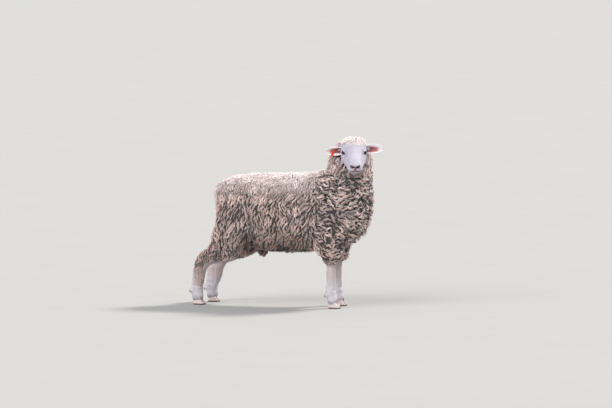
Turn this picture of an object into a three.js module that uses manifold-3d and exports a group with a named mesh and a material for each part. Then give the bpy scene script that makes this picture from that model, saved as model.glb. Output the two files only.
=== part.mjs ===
/**
 * A young white-faced sheep in a short crimped fleece, standing square with its head turned to its right.
 *
 * Millimetres. +X runs to the breast, +Y to the animal's left, +Z up, and the hooves stand on Z = 0. Every solid
 * is the outline over the tips of the coat. Neighbours are parted by a thin gap, so that no two solids overlap.
 */
import * as THREE from 'three';
import { mergeVertices } from 'three/addons/utils/BufferGeometryUtils.js';
import Module from 'manifold-3d';

const wasm = await Module();
wasm.setup();

// ---------------------------------------------------------------- driving dimensions

const GAP = 0.4; // between solids that touch

const TRUNK = { rump: -287, breast: 510, back: 646, belly: 262, halfWidth: 176 };
const NECK = { x: 396, foot: 540, crown: 822, half: 112, halfWidth: 90 };
const TAIL = { x: -284, root: 600, tip: 474, half: 29, halfWidth: 43 };

const HEAD = { x: 447.5, y: -65, z: 760, yaw: -66, pitch: 29 }; // the point midway between the eyes
const SKULL = { poll: -104, lips: 146, cap: 47, jaw: 80, halfWidth: 62, muzzle: 40 };
const EYE = { x: -7, y: 46, z: -6, radius: 13, outward: 52 };
const NOSTRIL = { x: 136, y: 14.5, z: -1, size: [9, 11, 4], lean: 24 };
const MOUTH = { z: -25, depth: 4, height: 1.6, corner: 92, fall: 8 };
const EAR = { x: -40, y: 52, z: -9, length: 87, halfWidth: 24, thick: 4.6, droop: 0.17 };
const TAG = { along: 0.57, width: 11, thick: 2, studAt: -7, studRadius: 2.4, lean: 26 };

const FORE = { x: 337, y: 85, knee: 205, fetlock: 70, half: 22.5, halfWidth: 21 };
const HIND = { x: -351, y: 92, hock: 252, fetlock: 74, half: 29, halfWidth: 25 };
const FEATHER = { fore: 6, hind: 9, far: 17 }; // hair behind the shanks, and before the left hind one
const PARTED = { knee: 2, hock: 62, fetlock: 18 }; // how far from each joint the legs are parted
const SHEATH = { at: [-52, 0, 263], size: [31, 22, 27] }; // the wool that hangs under the belly
const HOOF = { length: 58, halfWidth: 11.4, apart: 12.6, toe: 37, heel: 19 };
const DEWCLAW = { size: [8, 6, 9], apart: 12 };
const STRIDE = -35; // the left forefoot stands this far behind the right one

const SLAB = [1200, 500]; // wide enough to part any leg
const CRUMB = 1000; // in cubic millimetres: a piece below this is left out

const COAT = { colour: 0xaa968a, roughness: 0.95 };
const FACE = { colour: 0xe4dee6, roughness: 0.8 };
const HORN = { colour: 0x8d7a70, roughness: 0.55 };
const EYEBALL = { colour: 0x0c0908, roughness: 0.12 };
const PLASTIC = { colour: 0xf24010, roughness: 0.45 };

// ---------------------------------------------------------------- helpers

const radians = THREE.MathUtils.degToRad;

/** A closed geometry from points and triangles, turned so that its faces point out. */
function closed(points, faces) {
  const volume = faces.reduce((sum, [a, b, c]) => {
    const cross = new THREE.Vector3().crossVectors(points[b], points[c]);
    return sum + points[a].dot(cross);
  }, 0);
  const outward = volume < 0 ? faces.map(([a, b, c]) => [a, c, b]) : faces;
  const geometry = new THREE.BufferGeometry().setFromPoints(points);
  return geometry.setIndex(outward.flat());
}

/** A closed geometry over rings of equally many points, with a fan over each end. */
function skinOver(rings) {
  const sides = rings[0].length;
  const points = rings.flat();
  const faces = [];
  for (let r = 0; r < rings.length - 1; r++) {
    for (let s = 0; s < sides; s++) {
      const a = r * sides + s;
      const b = r * sides + ((s + 1) % sides);
      faces.push([a, b, b + sides], [a, b + sides, a + sides]);
    }
  }
  const ends = [[rings[0], 0, true], [rings.at(-1), (rings.length - 1) * sides, false]];
  for (const [ring, start, flip] of ends) {
    const middle = points.length;
    points.push(ring.reduce((sum, p) => sum.add(p), new THREE.Vector3()).divideScalar(sides));
    for (let s = 0; s < sides; s++) {
      const a = start + s;
      const b = start + ((s + 1) % sides);
      faces.push(flip ? [b, a, middle] : [a, b, middle]);
    }
  }
  return closed(points, faces);
}

/** One key section: its centre, half-sizes across, up (or forward) and down (or back), and its squareness. */
function section(x, y, z, across, up, down = up, extra = {}) {
  return { x, y, z, across, up, down, egg: 0, power: 2.2, slope: 0, ...extra };
}

/** The section a share of the way along the keys, on a Catmull-Rom curve through each of their values. */
function sectionAt(keys, share) {
  const place = share * (keys.length - 1);
  const i = Math.min(Math.floor(place), keys.length - 2);
  const t = place - i;
  const near = [-1, 0, 1, 2].map((step) => keys[THREE.MathUtils.clamp(i + step, 0, keys.length - 1)]);
  const blend = (name) => {
    const [a, b, c, d] = near.map((key) => key[name]);
    const bend = 2 * a - 5 * b + 4 * c - d;
    const twist = 3 * (b - c) + d - a;
    return b + 0.5 * t * (c - a + t * (bend + t * twist));
  };
  return Object.fromEntries(Object.keys(keys[0]).map((name) => [name, blend(name)]));
}

const power = (value, exponent) => Math.sign(value) * Math.abs(value) ** exponent;

/** The points of one section, upright (normal to X) or level (normal to Z). */
function ring(key, sides, level, grow) {
  return Array.from({ length: sides }, (_, s) => {
    const angle = (2 * Math.PI * s) / sides;
    const c = power(Math.cos(angle), 2 / key.power);
    const h = power(Math.sin(angle), 2 / key.power);
    const side = (key.across + grow) * c * (1 - key.egg * h);
    const rise = ((h > 0 ? key.up : key.down) + grow) * h;
    return level
      ? new THREE.Vector3(key.x + rise, key.y + side, key.z + key.slope * rise)
      : new THREE.Vector3(key.x + key.slope * rise, key.y + side, key.z + rise);
  });
}

/** A body lofted through key sections, `grow` larger all round. */
function loft(keys, { sides = 24, steps = 2, level = false, grow = 0 } = {}) {
  const count = (keys.length - 1) * steps;
  const sections = Array.from({ length: count + 1 }, (_, i) => sectionAt(keys, i / count));
  const axis = level ? 'z' : 'x';
  const sense = Math.sign(sections.at(-1)[axis] - sections[0][axis]);
  sections[0][axis] -= sense * grow;
  sections.at(-1)[axis] += sense * grow;
  return skinOver(sections.map((key) => ring(key, sides, level, grow)));
}

/** An ellipsoid with its first half-size along `axis`. */
function ellipsoid(centre, size, axis = [1, 0, 0], sides = 12) {
  const turn = new THREE.Quaternion().setFromUnitVectors(
    new THREE.Vector3(1, 0, 0),
    new THREE.Vector3(...axis).normalize(),
  );
  const place = new THREE.Matrix4().compose(new THREE.Vector3(...centre), turn, new THREE.Vector3(...size));
  return new THREE.SphereGeometry(1, sides, Math.round(sides * 0.65)).applyMatrix4(place);
}

/** A geometry as a manifold solid, placed by a matrix, which may mirror it. */
function solid(geometry, matrix = new THREE.Matrix4()) {
  const bare = new THREE.BufferGeometry().setAttribute('position', geometry.getAttribute('position').clone());
  bare.setIndex(geometry.index);
  const merged = mergeVertices(bare.applyMatrix4(matrix), 1e-3);
  const triVerts = new Uint32Array(merged.index.array);
  if (matrix.determinant() < 0) triVerts.reverse();
  return new wasm.Manifold(
    new wasm.Mesh({ numProp: 3, vertProperties: merged.attributes.position.array, triVerts }),
  );
}

const cut = (body, ...tools) => tools.reduce((left, tool) => left.subtract(tool), body);
const join = (...bodies) => bodies.reduce((all, body) => all.add(body));
const largest = (body) => body.decompose().reduce((a, b) => (b.volume() > a.volume() ? b : a));

/** A named mesh of a solid, or of a geometry. */
function mesh(name, body, look) {
  let geometry = body;
  if (!body.isBufferGeometry) {
    const { numProp, vertProperties, triVerts } = body.getMesh();
    const positions = new THREE.InterleavedBuffer(vertProperties, numProp);
    geometry = new THREE.BufferGeometry();
    geometry.setAttribute('position', new THREE.InterleavedBufferAttribute(positions, 3, 0));
    geometry.setIndex(new THREE.BufferAttribute(triVerts, 1));
  }
  const { colour, roughness } = look;
  const material = new THREE.MeshStandardMaterial({ color: colour, roughness, metalness: 0 });
  const made = new THREE.Mesh(geometry, material);
  made.name = name;
  return made;
}

// ---------------------------------------------------------------- trunk, neck and tail

/** Upright sections of the barrel, from the rump to the breast: station, top line, under line, half-width. */
function trunkKeys() {
  const { rump, breast, back, belly, halfWidth: w } = TRUNK;
  const profile = [
    [rump, back - 92, back - 142, 0.18 * w],
    [rump + 7, back - 70, back - 186, 0.4 * w],
    [rump + 25, back - 49, back - 236, 0.6 * w],
    [rump + 60, back - 28, belly + 98, 0.79 * w],
    [rump + 124, back - 11, belly + 48, 0.91 * w],
    [rump + 224, back - 2, belly + 10, 0.975 * w],
    [rump + 344, back, belly, w],
    [breast - 346, back + 6, belly + 4, 0.985 * w],
    [breast - 246, back + 20, belly + 12, 0.945 * w],
    [breast - 166, back + 26, belly + 22, 0.885 * w],
    [breast - 96, back + 16, belly + 46, 0.78 * w],
    [breast - 46, back, belly + 88, 0.62 * w],
    [breast - 15, back - 30, belly + 140, 0.43 * w],
    [breast, back - 66, belly + 192, 0.2 * w],
  ];
  return profile.map(([x, top, under, across]) =>
    section(x, 0, (top + under) / 2, across, (top - under) / 2, (top - under) / 2, { power: 2.25 }),
  );
}

/** The barrel with the wool that hangs under it, `grow` larger all round. */
function trunkSolid(grow = 0) {
  const size = SHEATH.size.map((half) => half + grow);
  return join(solid(loft(trunkKeys(), { sides: 22, grow })), solid(ellipsoid(SHEATH.at, size)));
}

/** Level sections of the neck, which stands almost upright and leans to the left behind the turned head. */
function neckKeys() {
  const { x, foot, crown, half, halfWidth: w } = NECK;
  const stations = [
    [foot, 0, 0, half + 4, half + 20, w + 26],
    [foot + 60, 0, 0, half + 6, half + 18, w + 22],
    [foot + 110, 0, 5, half + 3, half + 14, w + 12],
    [foot + 160, -1, 13, half, half - 1, w],
    [crown - 84, -4, 21, half - 5, half - 5, w - 6],
    [crown - 48, -5, 25, half - 18, half - 27, w - 15],
    [crown - 22, -3, 25, half - 38, half - 48, w - 30],
    [crown - 6, 0, 22, half - 68, half - 68, w - 56],
    [crown, 2, 20, 14, 14, 12],
  ];
  return stations.map(([z, dx, y, fore, back, across]) => section(x + dx, y, z, across, fore, back));
}

/** Level sections of the docked tail, hanging against the rump. */
function tailKeys() {
  const { x, root, tip, half, halfWidth: w } = TAIL;
  const drop = root - tip;
  return [
    section(x + 22, 0, root, 0.4 * w, 0.5 * half),
    section(x + 18, 0, root - 0.08 * drop, 0.72 * w, 0.9 * half),
    section(x + 7, 0, root - 0.3 * drop, 0.92 * w, half),
    section(x + 2, 0, root - 0.55 * drop, w, half),
    section(x + 1, 0, root - 0.8 * drop, 0.86 * w, 0.86 * half),
    section(x + 3, 0, root - 0.94 * drop, 0.6 * w, 0.6 * half),
    section(x + 5, 0, tip, 0.2 * w, 0.2 * half),
  ];
}

// ---------------------------------------------------------------- head, in its own frame

/** Upright sections of the skull and muzzle: station, top, under, half-width, how much wider the cheeks are. */
function headKeys() {
  const { poll, lips, cap, jaw, halfWidth: w, muzzle: m } = SKULL;
  const profile = [
    [poll, 0.4 * cap, -0.26 * jaw, 0.3 * w, 0],
    [poll + 7, 0.68 * cap, -0.5 * jaw, 0.76 * w, -0.04],
    [poll + 24, 0.9 * cap, -0.72 * jaw, 1.08 * w, -0.08],
    [poll + 49, cap, -0.88 * jaw, 1.12 * w, -0.08],
    [poll + 74, 0.95 * cap, -0.98 * jaw, 1.06 * w, 0],
    [-8, 0.8 * cap, -jaw, 0.98 * w, 0.09],
    [15, 0.67 * cap, -0.96 * jaw, 0.93 * w, 0.16],
    [40, 0.57 * cap, -0.87 * jaw, 0.83 * w, 0.2],
    [65, 0.5 * cap, -0.76 * jaw, 1.14 * m, 0.17],
    [lips - 56, 0.44 * cap, -0.69 * jaw, 1.02 * m, 0.08],
    [lips - 34, 0.38 * cap, -0.66 * jaw, m, 0],
    [lips - 18, 0.27 * cap, -0.61 * jaw, 0.9 * m, 0],
    [lips - 7, 0.11 * cap, -0.54 * jaw, 0.71 * m, 0],
    [lips, -0.08 * cap, -0.43 * jaw, 0.4 * m, 0],
  ];
  return profile.map(([x, top, under, across, egg]) =>
    section(x, 0, (top + under) / 2, across, (top - under) / 2, (top - under) / 2, { egg, power: 2.3 }),
  );
}

const eyeCentre = (side) => [EYE.x, side * EYE.y, EYE.z];

/** The direction in which an eye looks: out to the side, forward and a little up. */
function eyeAxis(side) {
  const angle = radians(EYE.outward);
  return [Math.cos(angle), side * Math.sin(angle), 0.1];
}

/** The ring of bone and skin that stands out round each eye. */
function brow(side) {
  return ellipsoid([EYE.x - 3, side * EYE.y, EYE.z + 3], [25, 18, 19], [1, -0.2 * side, 0], 10);
}

/** The opening between the lids, and the room for the eyeball. */
function eyeRoom(side) {
  const axis = new THREE.Vector3(...eyeAxis(side)).normalize();
  const at = new THREE.Vector3(...eyeCentre(side)).addScaledVector(axis, EYE.radius);
  const opening = ellipsoid(at.toArray(), [11, 11, 8.5], axis.toArray(), 10);
  return [solid(ellipsoid(eyeCentre(side), Array(3).fill(EYE.radius + GAP))), solid(opening)];
}

function nostril(side) {
  const lean = radians(NOSTRIL.lean);
  return solid(ellipsoid(
    [NOSTRIL.x, side * NOSTRIL.y, NOSTRIL.z],
    [NOSTRIL.size[1], NOSTRIL.size[0], NOSTRIL.size[2]],
    [0, side * Math.cos(lean), Math.sin(lean)],
    8,
  ));
}

/** A groove as deep as the lips' closed line, round the front of the muzzle. */
function mouthLine() {
  const length = SKULL.lips - MOUTH.corner + 10;
  const slab = new THREE.BoxGeometry(length, 4 * SKULL.muzzle, MOUTH.height);
  const place = new THREE.Matrix4().makeRotationY(radians(-MOUTH.fall));
  place.setPosition(MOUTH.corner + length / 2, 0, MOUTH.z);
  return cut(solid(slab, place), solid(loft(headKeys(), { sides: 12, steps: 1, grow: -MOUTH.depth })));
}

/** The whole head before its openings, `grow` larger all round. */
function headBlank(grow = 0) {
  return solid(loft(headKeys(), { sides: 20, steps: 1, grow }));
}

function headSolid() {
  const blank = join(headBlank(), solid(brow(1)), solid(brow(-1)));
  return largest(cut(blank, ...eyeRoom(1), ...eyeRoom(-1), nostril(1), nostril(-1), mouthLine()));
}

// ---------------------------------------------------------------- ears and ear tag

/** The half-width of the ear a share of the way along it: a narrow root, a full middle and a round tip. */
function earHalfWidth(share) {
  const middle = 0.4;
  const toTip = Math.max(0, (share - middle) / (1 - middle));
  const toRoot = Math.max(0, (middle - share) / middle);
  return EAR.halfWidth * Math.sqrt(1 - toTip ** 2.4) * (1 - 0.36 * toRoot ** 1.6);
}

/** How far the ear's edges curl forward of its middle. */
const earCup = (share) => 17 - 10 * share;

/** The ear's own frame in the head: along it, across it to its upper edge, out of its hollow. The right one sags. */
function earFrame(side) {
  const sag = side < 0 ? EAR.droop : 0;
  const along = new THREE.Vector3(-0.12, side, -0.07 - sag).normalize();
  const face = new THREE.Vector3(0.82, side * 0.1, 0.5 - 2.6 * sag);
  face.addScaledVector(along, -face.dot(along)).normalize();
  const across = new THREE.Vector3().crossVectors(along, face).multiplyScalar(-side).normalize();
  const frame = new THREE.Matrix4().makeBasis(along, across, face);
  return frame.setPosition(EAR.x, side * EAR.y, EAR.z);
}

/** A cupped leaf: closed rings round its thin section, from the root to the tip. */
function earLeaf(grow = 0) {
  const rows = 9;
  const half = 5;
  const rings = Array.from({ length: rows + 1 }, (_, i) => {
    const share = Math.min(0.992, Math.sin((Math.PI / 2) * (i / rows)));
    const width = earHalfWidth(share) + grow;
    const along = (EAR.length + grow) * share - (i === 0 ? grow : 0);
    const point = (v, front) => {
      const thick = (EAR.thick / 2) * (1 - 0.5 * v * v) + grow;
      return new THREE.Vector3(along, v * width, earCup(share) * v * v + (front ? thick : -thick));
    };
    const steps = Array.from({ length: half + 1 }, (__, j) => -1 + (2 * j) / half);
    return [...steps.map((v) => point(v, true)), ...steps.reverse().map((v) => point(v, false))];
  });
  return skinOver(rings);
}

/** The tag's frame in the ear: its strip runs down across the ear and leans towards the tip. */
function tagFrame() {
  const lean = new THREE.Matrix4().makeRotationZ(radians(TAG.lean));
  return lean.setPosition(TAG.along * EAR.length, 0, 0);
}

/** A strip folded round the ear's lower edge, `grow` larger on every face but its ends. */
function tagStrip(grow = 0) {
  const w = TAG.width / 2 + grow;
  const t = TAG.thick / 2 + grow;
  const path = new THREE.CatmullRomCurve3([
    new THREE.Vector3(0, 4, 6.5),
    new THREE.Vector3(0, -8, 7.5),
    new THREE.Vector3(0, -19, 13),
    new THREE.Vector3(0, -25, 15),
    new THREE.Vector3(0, -27, 9),
    new THREE.Vector3(0, -20, 1),
    new THREE.Vector3(0, -10, -5),
    new THREE.Vector3(0, 2, -6.5),
  ]);
  const flat = new THREE.Shape();
  flat.moveTo(-w, -t);
  flat.lineTo(w, -t);
  flat.lineTo(w, t);
  flat.lineTo(-w, t);
  return new THREE.ExtrudeGeometry(flat, { steps: 12, bevelEnabled: false, extrudePath: path });
}

/** A pin through the ear, `grow` larger all round. */
function tagStud(grow = 0) {
  const pin = new THREE.CylinderGeometry(TAG.studRadius + grow, TAG.studRadius + grow, 26 + 2 * grow, 12);
  return pin.rotateX(Math.PI / 2).translate(0, TAG.studAt, 2);
}

// ---------------------------------------------------------------- legs

/** Level sections of a foreleg, from inside the shoulder's fleece to the hair over the hoof. */
function foreKeys(x, y, side) {
  const { knee, fetlock, half, halfWidth: w } = FORE;
  const rear = FEATHER.fore;
  return [
    section(x - 12, y - side * 4, knee + 225, 62, 96, 104),
    section(x - 10, y - side * 3, knee + 165, 63, 94, 106),
    section(x - 6, y - side * 2, knee + 105, 58, 78, 96),
    section(x - 3, y, knee + 60, 46, 71, 70),
    section(x, y, knee + 28, 35, 54, 48),
    section(x, y, knee + 8, 1.35 * w, 1.5 * half, 1.55 * half),
    section(x, y, knee - 6, 1.17 * w, 1.22 * half, 1.22 * half),
    section(x, y, knee - 30, 1.04 * w, 1.08 * half, 1.06 * half + rear),
    section(x + 1, y, knee - 70, 0.96 * w, half, half + rear),
    section(x + 1, y, fetlock + 28, w, 1.04 * half, 1.06 * half + rear),
    section(x, y, fetlock, 1.16 * w, 1.16 * half, 1.26 * half + rear),
    section(x + 6, y, fetlock - 20, 1.12 * w, 1.12 * half, 1.18 * half + rear / 2),
    section(x + 12, y, coronetHeight(-4), 1.17 * w, 1.12 * half, 1.18 * half, { slope: coronetSlope() }),
  ];
}

/** Level sections of a hind leg: the thigh's fleece, the hock standing out behind, and the straight cannon. */
function hindKeys(x, y, side) {
  const { hock, fetlock, half, halfWidth: w } = HIND;
  const rear = FEATHER.hind;
  const ahead = side > 0 ? FEATHER.far : 0;
  return [
    section(-150, y - side * 14, hock + 275, 70, 112, 104),
    section(-150, y - side * 10, hock + 215, 84, 122, 110),
    section(-156, y - side * 8, hock + 160, 88, 122, 113),
    section(-170, y - side * 5, hock + 100, 80, 120, 116),
    section(-184, y - side * 2, hock + 52, 66, 112, 110),
    section(-206, y, hock + 26, 56, 114, 104),
    section(-232, y, hock + 5, 48, 114, 104 + rear),
    section(-264, y, hock - 16, 40, 108 + 0.6 * ahead, 90 + rear),
    section(-306, y, hock - 40, 32, 90 + ahead, 60 + rear),
    section(-337, y, hock - 62, 1.14 * w, 1.6 * half + ahead, 1.2 * half + rear),
    section(x + 4, y, hock - 86, 1.06 * w, 1.16 * half + ahead, 1.08 * half + rear),
    section(x, y, hock - 125, w, half + ahead, 1.02 * half + rear),
    section(x - 4, y, fetlock + 26, w, 0.96 * half + 0.6 * ahead, half + 1.2 * rear),
    section(x - 8, y, fetlock, 1.08 * w, 0.97 * half, 1.12 * half + rear),
    section(x - 7, y, fetlock - 22, 1.02 * w, 0.95 * half, 1.02 * half + rear / 2),
    section(x - 4, y, coronetHeight(-4), 1.02 * w, 0.9 * half, 0.96 * half, { slope: coronetSlope() }),
  ];
}

/** The hair line over the hoof falls from the toe to the heel. */
const coronetSlope = () => (HOOF.toe - HOOF.heel) / HOOF.length;
const coronetHeight = (ahead) => HOOF.heel + coronetSlope() * (ahead + HOOF.length / 2);

/** One claw: a flat sole, a sloping front wall and a top that falls to the heel, under the leg's hair. */
function claw(x, y, side) {
  const { length, halfWidth: w } = HOOF;
  const under = { power: 2.6 };
  const lift = coronetHeight(-8) - GAP;
  const keys = [
    section(x + 1, y, 0, 0.92 * w, length / 2 - 2, length / 2 - 3, under),
    section(x + 1, y, 4, w, length / 2 - 1, length / 2 - 2, under),
    section(x - 3, y - side * 0.4, 0.5 * lift, 0.99 * w, 0.86 * (length / 2), 0.9 * (length / 2), {
      ...under,
      slope: 0.4 * coronetSlope(),
    }),
    section(x - 8, y - side * 0.8, lift, 0.92 * w, 0.72 * (length / 2), 0.82 * (length / 2), {
      ...under,
      slope: coronetSlope(),
    }),
  ];
  return loft(keys, { sides: 12, steps: 1, level: true });
}

function dewclaw(x, y, z, grow = 0) {
  return ellipsoid([x, y, z], DEWCLAW.size.map((half) => half + grow), [1, 0, -0.5], 7);
}

/** A thin level slab that parts a leg at one height. */
function levelCut(height) {
  const slab = new THREE.BoxGeometry(...SLAB, GAP);
  return solid(slab, new THREE.Matrix4().makeTranslation(0, 0, height));
}

/** The bodies left by level cuts, from the highest to the lowest. */
function partedFromTop(body, heights) {
  const pieces = cut(body, ...heights.map(levelCut)).decompose();
  const lasting = pieces.filter((piece) => piece.volume() > CRUMB);
  return lasting.sort((a, b) => b.boundingBox().max[2] - a.boundingBox().max[2]);
}

/** A whole leg, its hoof and its dewclaws as named meshes. */
function leg(name, keys, footX, y, side, cuts, names, behind, trunk) {
  const group = new THREE.Group();
  const clawSides = [['inner', -side], ['outer', side]];
  const clawsBehind = clawSides.map(([, s]) => [behind.x, y + s * DEWCLAW.apart, behind.z]);
  const rooms = clawsBehind.map((at) => solid(dewclaw(...at, GAP)));
  const whole = cut(solid(loft(keys, { sides: 12, steps: 1, level: true })), trunk, ...rooms);
  partedFromTop(largest(whole), cuts).forEach((piece, i) => {
    const look = i === 0 ? COAT : FACE;
    group.add(mesh(`${name}_${names[i]}`, piece, look));
  });
  clawSides.forEach(([which, s], i) => {
    group.add(mesh(`${name}_hoof_${which}`, claw(footX, y + s * HOOF.apart, s), HORN));
    group.add(mesh(`${name}_dewclaw_${which}`, solid(dewclaw(...clawsBehind[i])), HORN));
  });
  return group;
}

function foreleg(name, side, trunk) {
  const x = FORE.x + (side > 0 ? STRIDE : 0);
  const y = side * FORE.y;
  const behind = { x: x - FORE.half - FEATHER.fore, z: FORE.fetlock - 8 };
  const names = ['forearm', 'cannon', 'pastern'];
  const keys = foreKeys(x, y, side);
  const cuts = [FORE.knee + PARTED.knee, FORE.fetlock + PARTED.fetlock];
  return leg(name, keys, x + 16, y, side, cuts, names, behind, trunk);
}

function hindleg(name, side, trunk) {
  const y = side * HIND.y;
  const behind = { x: HIND.x - 5 - HIND.half - FEATHER.hind, z: HIND.fetlock - 8 };
  const names = ['thigh', 'gaskin', 'cannon', 'pastern'];
  const keys = hindKeys(HIND.x, y, side);
  const { hock, fetlock } = HIND;
  const cuts = [hock + PARTED.hock, hock - PARTED.hock, fetlock + PARTED.fetlock];
  return leg(name, keys, HIND.x, y, side, cuts, names, behind, trunk);
}

// ---------------------------------------------------------------- assembly

function headPlace() {
  const turn = new THREE.Euler(0, radians(HEAD.pitch), radians(HEAD.yaw), 'ZYX');
  const place = new THREE.Matrix4().makeRotationFromEuler(turn);
  return place.setPosition(HEAD.x, HEAD.y, HEAD.z);
}

/** The head, eyes, ears and ear tag, in the head's own frame. */
function headGroup() {
  const group = new THREE.Group();
  group.applyMatrix4(headPlace());
  group.add(mesh('head', headSolid(), FACE));
  const grown = join(headBlank(GAP), solid(brow(1)), solid(brow(-1)));
  for (const [name, side] of [['left', 1], ['right', -1]]) {
    group.add(mesh(`eye_${name}`, ellipsoid(eyeCentre(side), Array(3).fill(EYE.radius)), EYEBALL));
    const holes = side < 0 ? [solid(tagStud(GAP), earFrame(side).multiply(tagFrame()))] : [];
    const ear = cut(solid(earLeaf(), earFrame(side)), grown, ...holes);
    group.add(mesh(`ear_${name}`, largest(ear), FACE));
  }
  const place = earFrame(-1).multiply(tagFrame());
  const ear = solid(earLeaf(GAP), earFrame(-1));
  const strip = cut(solid(tagStrip(), place), solid(tagStud(GAP), place), ear);
  group.add(mesh('ear_tag_strip', largest(strip), PLASTIC));
  group.add(mesh('ear_tag_stud', solid(tagStud(), place), PLASTIC));
  return group;
}

/** What the neck makes room for: the trunk below it and the turned head and ears in front of it. */
function neckRooms(trunk) {
  const place = headPlace();
  const skull = solid(loft(headKeys(), { sides: 20, steps: 1, grow: GAP }), place);
  const ears = [1, -1].map((side) => solid(earLeaf(GAP), place.clone().multiply(earFrame(side))));
  const brows = [1, -1].map((side) => solid(brow(side), place));
  const tagPlace = place.clone().multiply(earFrame(-1)).multiply(tagFrame());
  const tag = [solid(tagStrip(2 * GAP), tagPlace), solid(tagStud(2 * GAP), tagPlace)];
  return [trunk, skull, ...ears, ...brows, ...tag];
}

function sheep() {
  const group = new THREE.Group();
  const trunkGrown = trunkSolid(GAP);
  group.add(mesh('trunk', trunkSolid(), COAT));
  const neck = solid(loft(neckKeys(), { sides: 20, level: true }));
  group.add(mesh('neck', largest(cut(neck, ...neckRooms(trunkGrown))), COAT));
  const tail = solid(loft(tailKeys(), { sides: 14, steps: 1, level: true }));
  group.add(mesh('tail', largest(cut(tail, trunkGrown)), COAT));
  group.add(headGroup());
  for (const [name, side] of [['left', 1], ['right', -1]]) {
    group.add(foreleg(`foreleg_${name}`, side, trunkGrown));
    group.add(hindleg(`hindleg_${name}`, side, trunkGrown));
  }
  return group;
}

/** Moves the group so that its origin is the middle of its box, at the bottom. */
function stoodOnOrigin(group) {
  const box = new THREE.Box3().setFromObject(group, true);
  const middle = box.getCenter(new THREE.Vector3());
  group.position.set(-middle.x, -middle.y, -box.min.z);
  return group;
}

const whole = new THREE.Group();
whole.add(stoodOnOrigin(sheep()));

export default whole;
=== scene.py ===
"""A young white-faced sheep in a crimped fleece, as a still life-size model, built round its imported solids.

The solids are the outline over the tips of the coat. One skin takes the place of the nodes of flesh and lies
inside them by the depth of the coat. Locks of wool and tufts of short hair stand on it, in joined meshes.
Lengths are metres in the row's frame. In the head's own frame they are millimetres: X to the lips, Y to the
animal's left, Z to the crown, from the point between the eyes.
"""
import itertools
import math

import bmesh
import bpy
import numpy as np
import openvdb as vdb
from mathutils import Matrix, Vector
from mathutils.kdtree import KDTree


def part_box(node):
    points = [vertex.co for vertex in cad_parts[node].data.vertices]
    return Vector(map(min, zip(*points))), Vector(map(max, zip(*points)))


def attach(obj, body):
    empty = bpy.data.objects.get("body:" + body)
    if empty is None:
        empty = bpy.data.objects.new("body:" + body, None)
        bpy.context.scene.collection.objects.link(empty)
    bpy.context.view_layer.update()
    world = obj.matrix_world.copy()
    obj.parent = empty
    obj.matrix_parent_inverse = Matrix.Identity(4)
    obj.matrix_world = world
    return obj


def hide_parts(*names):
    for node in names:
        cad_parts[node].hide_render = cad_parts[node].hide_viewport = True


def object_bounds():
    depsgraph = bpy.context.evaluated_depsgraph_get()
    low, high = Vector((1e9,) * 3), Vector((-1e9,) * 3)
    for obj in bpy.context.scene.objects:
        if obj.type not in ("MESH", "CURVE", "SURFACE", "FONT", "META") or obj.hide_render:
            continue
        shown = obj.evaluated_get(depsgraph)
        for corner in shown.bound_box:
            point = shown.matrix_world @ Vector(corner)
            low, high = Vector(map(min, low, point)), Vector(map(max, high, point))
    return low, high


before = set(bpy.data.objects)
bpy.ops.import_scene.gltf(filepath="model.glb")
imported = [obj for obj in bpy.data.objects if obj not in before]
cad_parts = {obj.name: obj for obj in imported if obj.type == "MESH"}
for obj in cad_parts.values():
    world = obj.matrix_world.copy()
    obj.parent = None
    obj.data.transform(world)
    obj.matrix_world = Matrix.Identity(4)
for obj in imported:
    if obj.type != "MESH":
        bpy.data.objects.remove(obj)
cad_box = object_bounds()

# ---------------------------------------------------------------- the frame's own measures

MM = 0.001
HARD = ("hoof", "dewclaw", "eye", "tag")
FLESH = [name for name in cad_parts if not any(word in name for word in HARD)]
HOOVES = [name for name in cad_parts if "hoof" in name]
DEWCLAWS = [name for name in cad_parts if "dewclaw" in name]
LOW, HIGH = (np.array(corner) for corner in cad_box)
SIDES = (("left", 1), ("right", -1))


def middle(node):
    low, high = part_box(node)
    return np.array((low + high) / 2)


HEAD_PITCH = math.radians(29)
EYE_RADIUS = 13.0
EYE_PLACE = np.array((-7.0, 46.0, -6.0))
EYE_OUTWARD = math.radians(52)
HIND_X = float(middle("hindleg_right_cannon")[0])
HIND_Y = abs(float(middle("hindleg_right_cannon")[1]))


def head_axes():
    """The head's own axes as columns, from the line through its eyes and the fall of its face."""
    left = middle("eye_left") - middle("eye_right")
    left /= np.linalg.norm(left)
    level = np.cross(left, (0, 0, 1))
    level /= np.linalg.norm(level)
    ahead = math.cos(HEAD_PITCH) * level - math.sin(HEAD_PITCH) * np.array((0, 0, 1))
    return np.column_stack((ahead, left, np.cross(ahead, left)))


HEAD_AXES = head_axes()
HEAD_ORIGIN = (middle("eye_left") + middle("eye_right")) / 2 - HEAD_AXES @ (EYE_PLACE * (1, 0, 1)) * MM


def in_head(points):
    return (points - HEAD_ORIGIN) @ HEAD_AXES / MM


def from_head(points):
    return np.asarray(points) @ HEAD_AXES.T * MM + HEAD_ORIGIN


def away_from_pair(local, place):
    """How far head-frame points are from a place on the left or from its mirror image, if that is nearer."""
    return np.minimum(*(np.linalg.norm(local - place * (1, side, 1), axis=1) for _, side in SIDES))


# ---------------------------------------------------------------- numbers and fields

FINE = 0.002
COARSE = 2 * FINE
BAND = 4  # voxels on either side of the surface
DEEP_BAND = 13
MARGIN = 0.016  # between the solids and the edge of their grids
CLOSE = 0.0006  # grown over the thin gaps between neighbouring solids

rng = np.random.default_rng(22)


def smooth(edge0, edge1, value):
    share = np.clip((value - edge0) / (edge1 - edge0), 0, 1)
    return share * share * (3 - 2 * share)


def mix(a, b, share):
    return a + (b - a) * share


def hump(*spans):
    """1 at the middle of every span, falling off round it like a bell. A span is values, middle and width."""
    return np.exp(-sum(((values - middle) / width) ** 2 for values, middle, width in spans))


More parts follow.
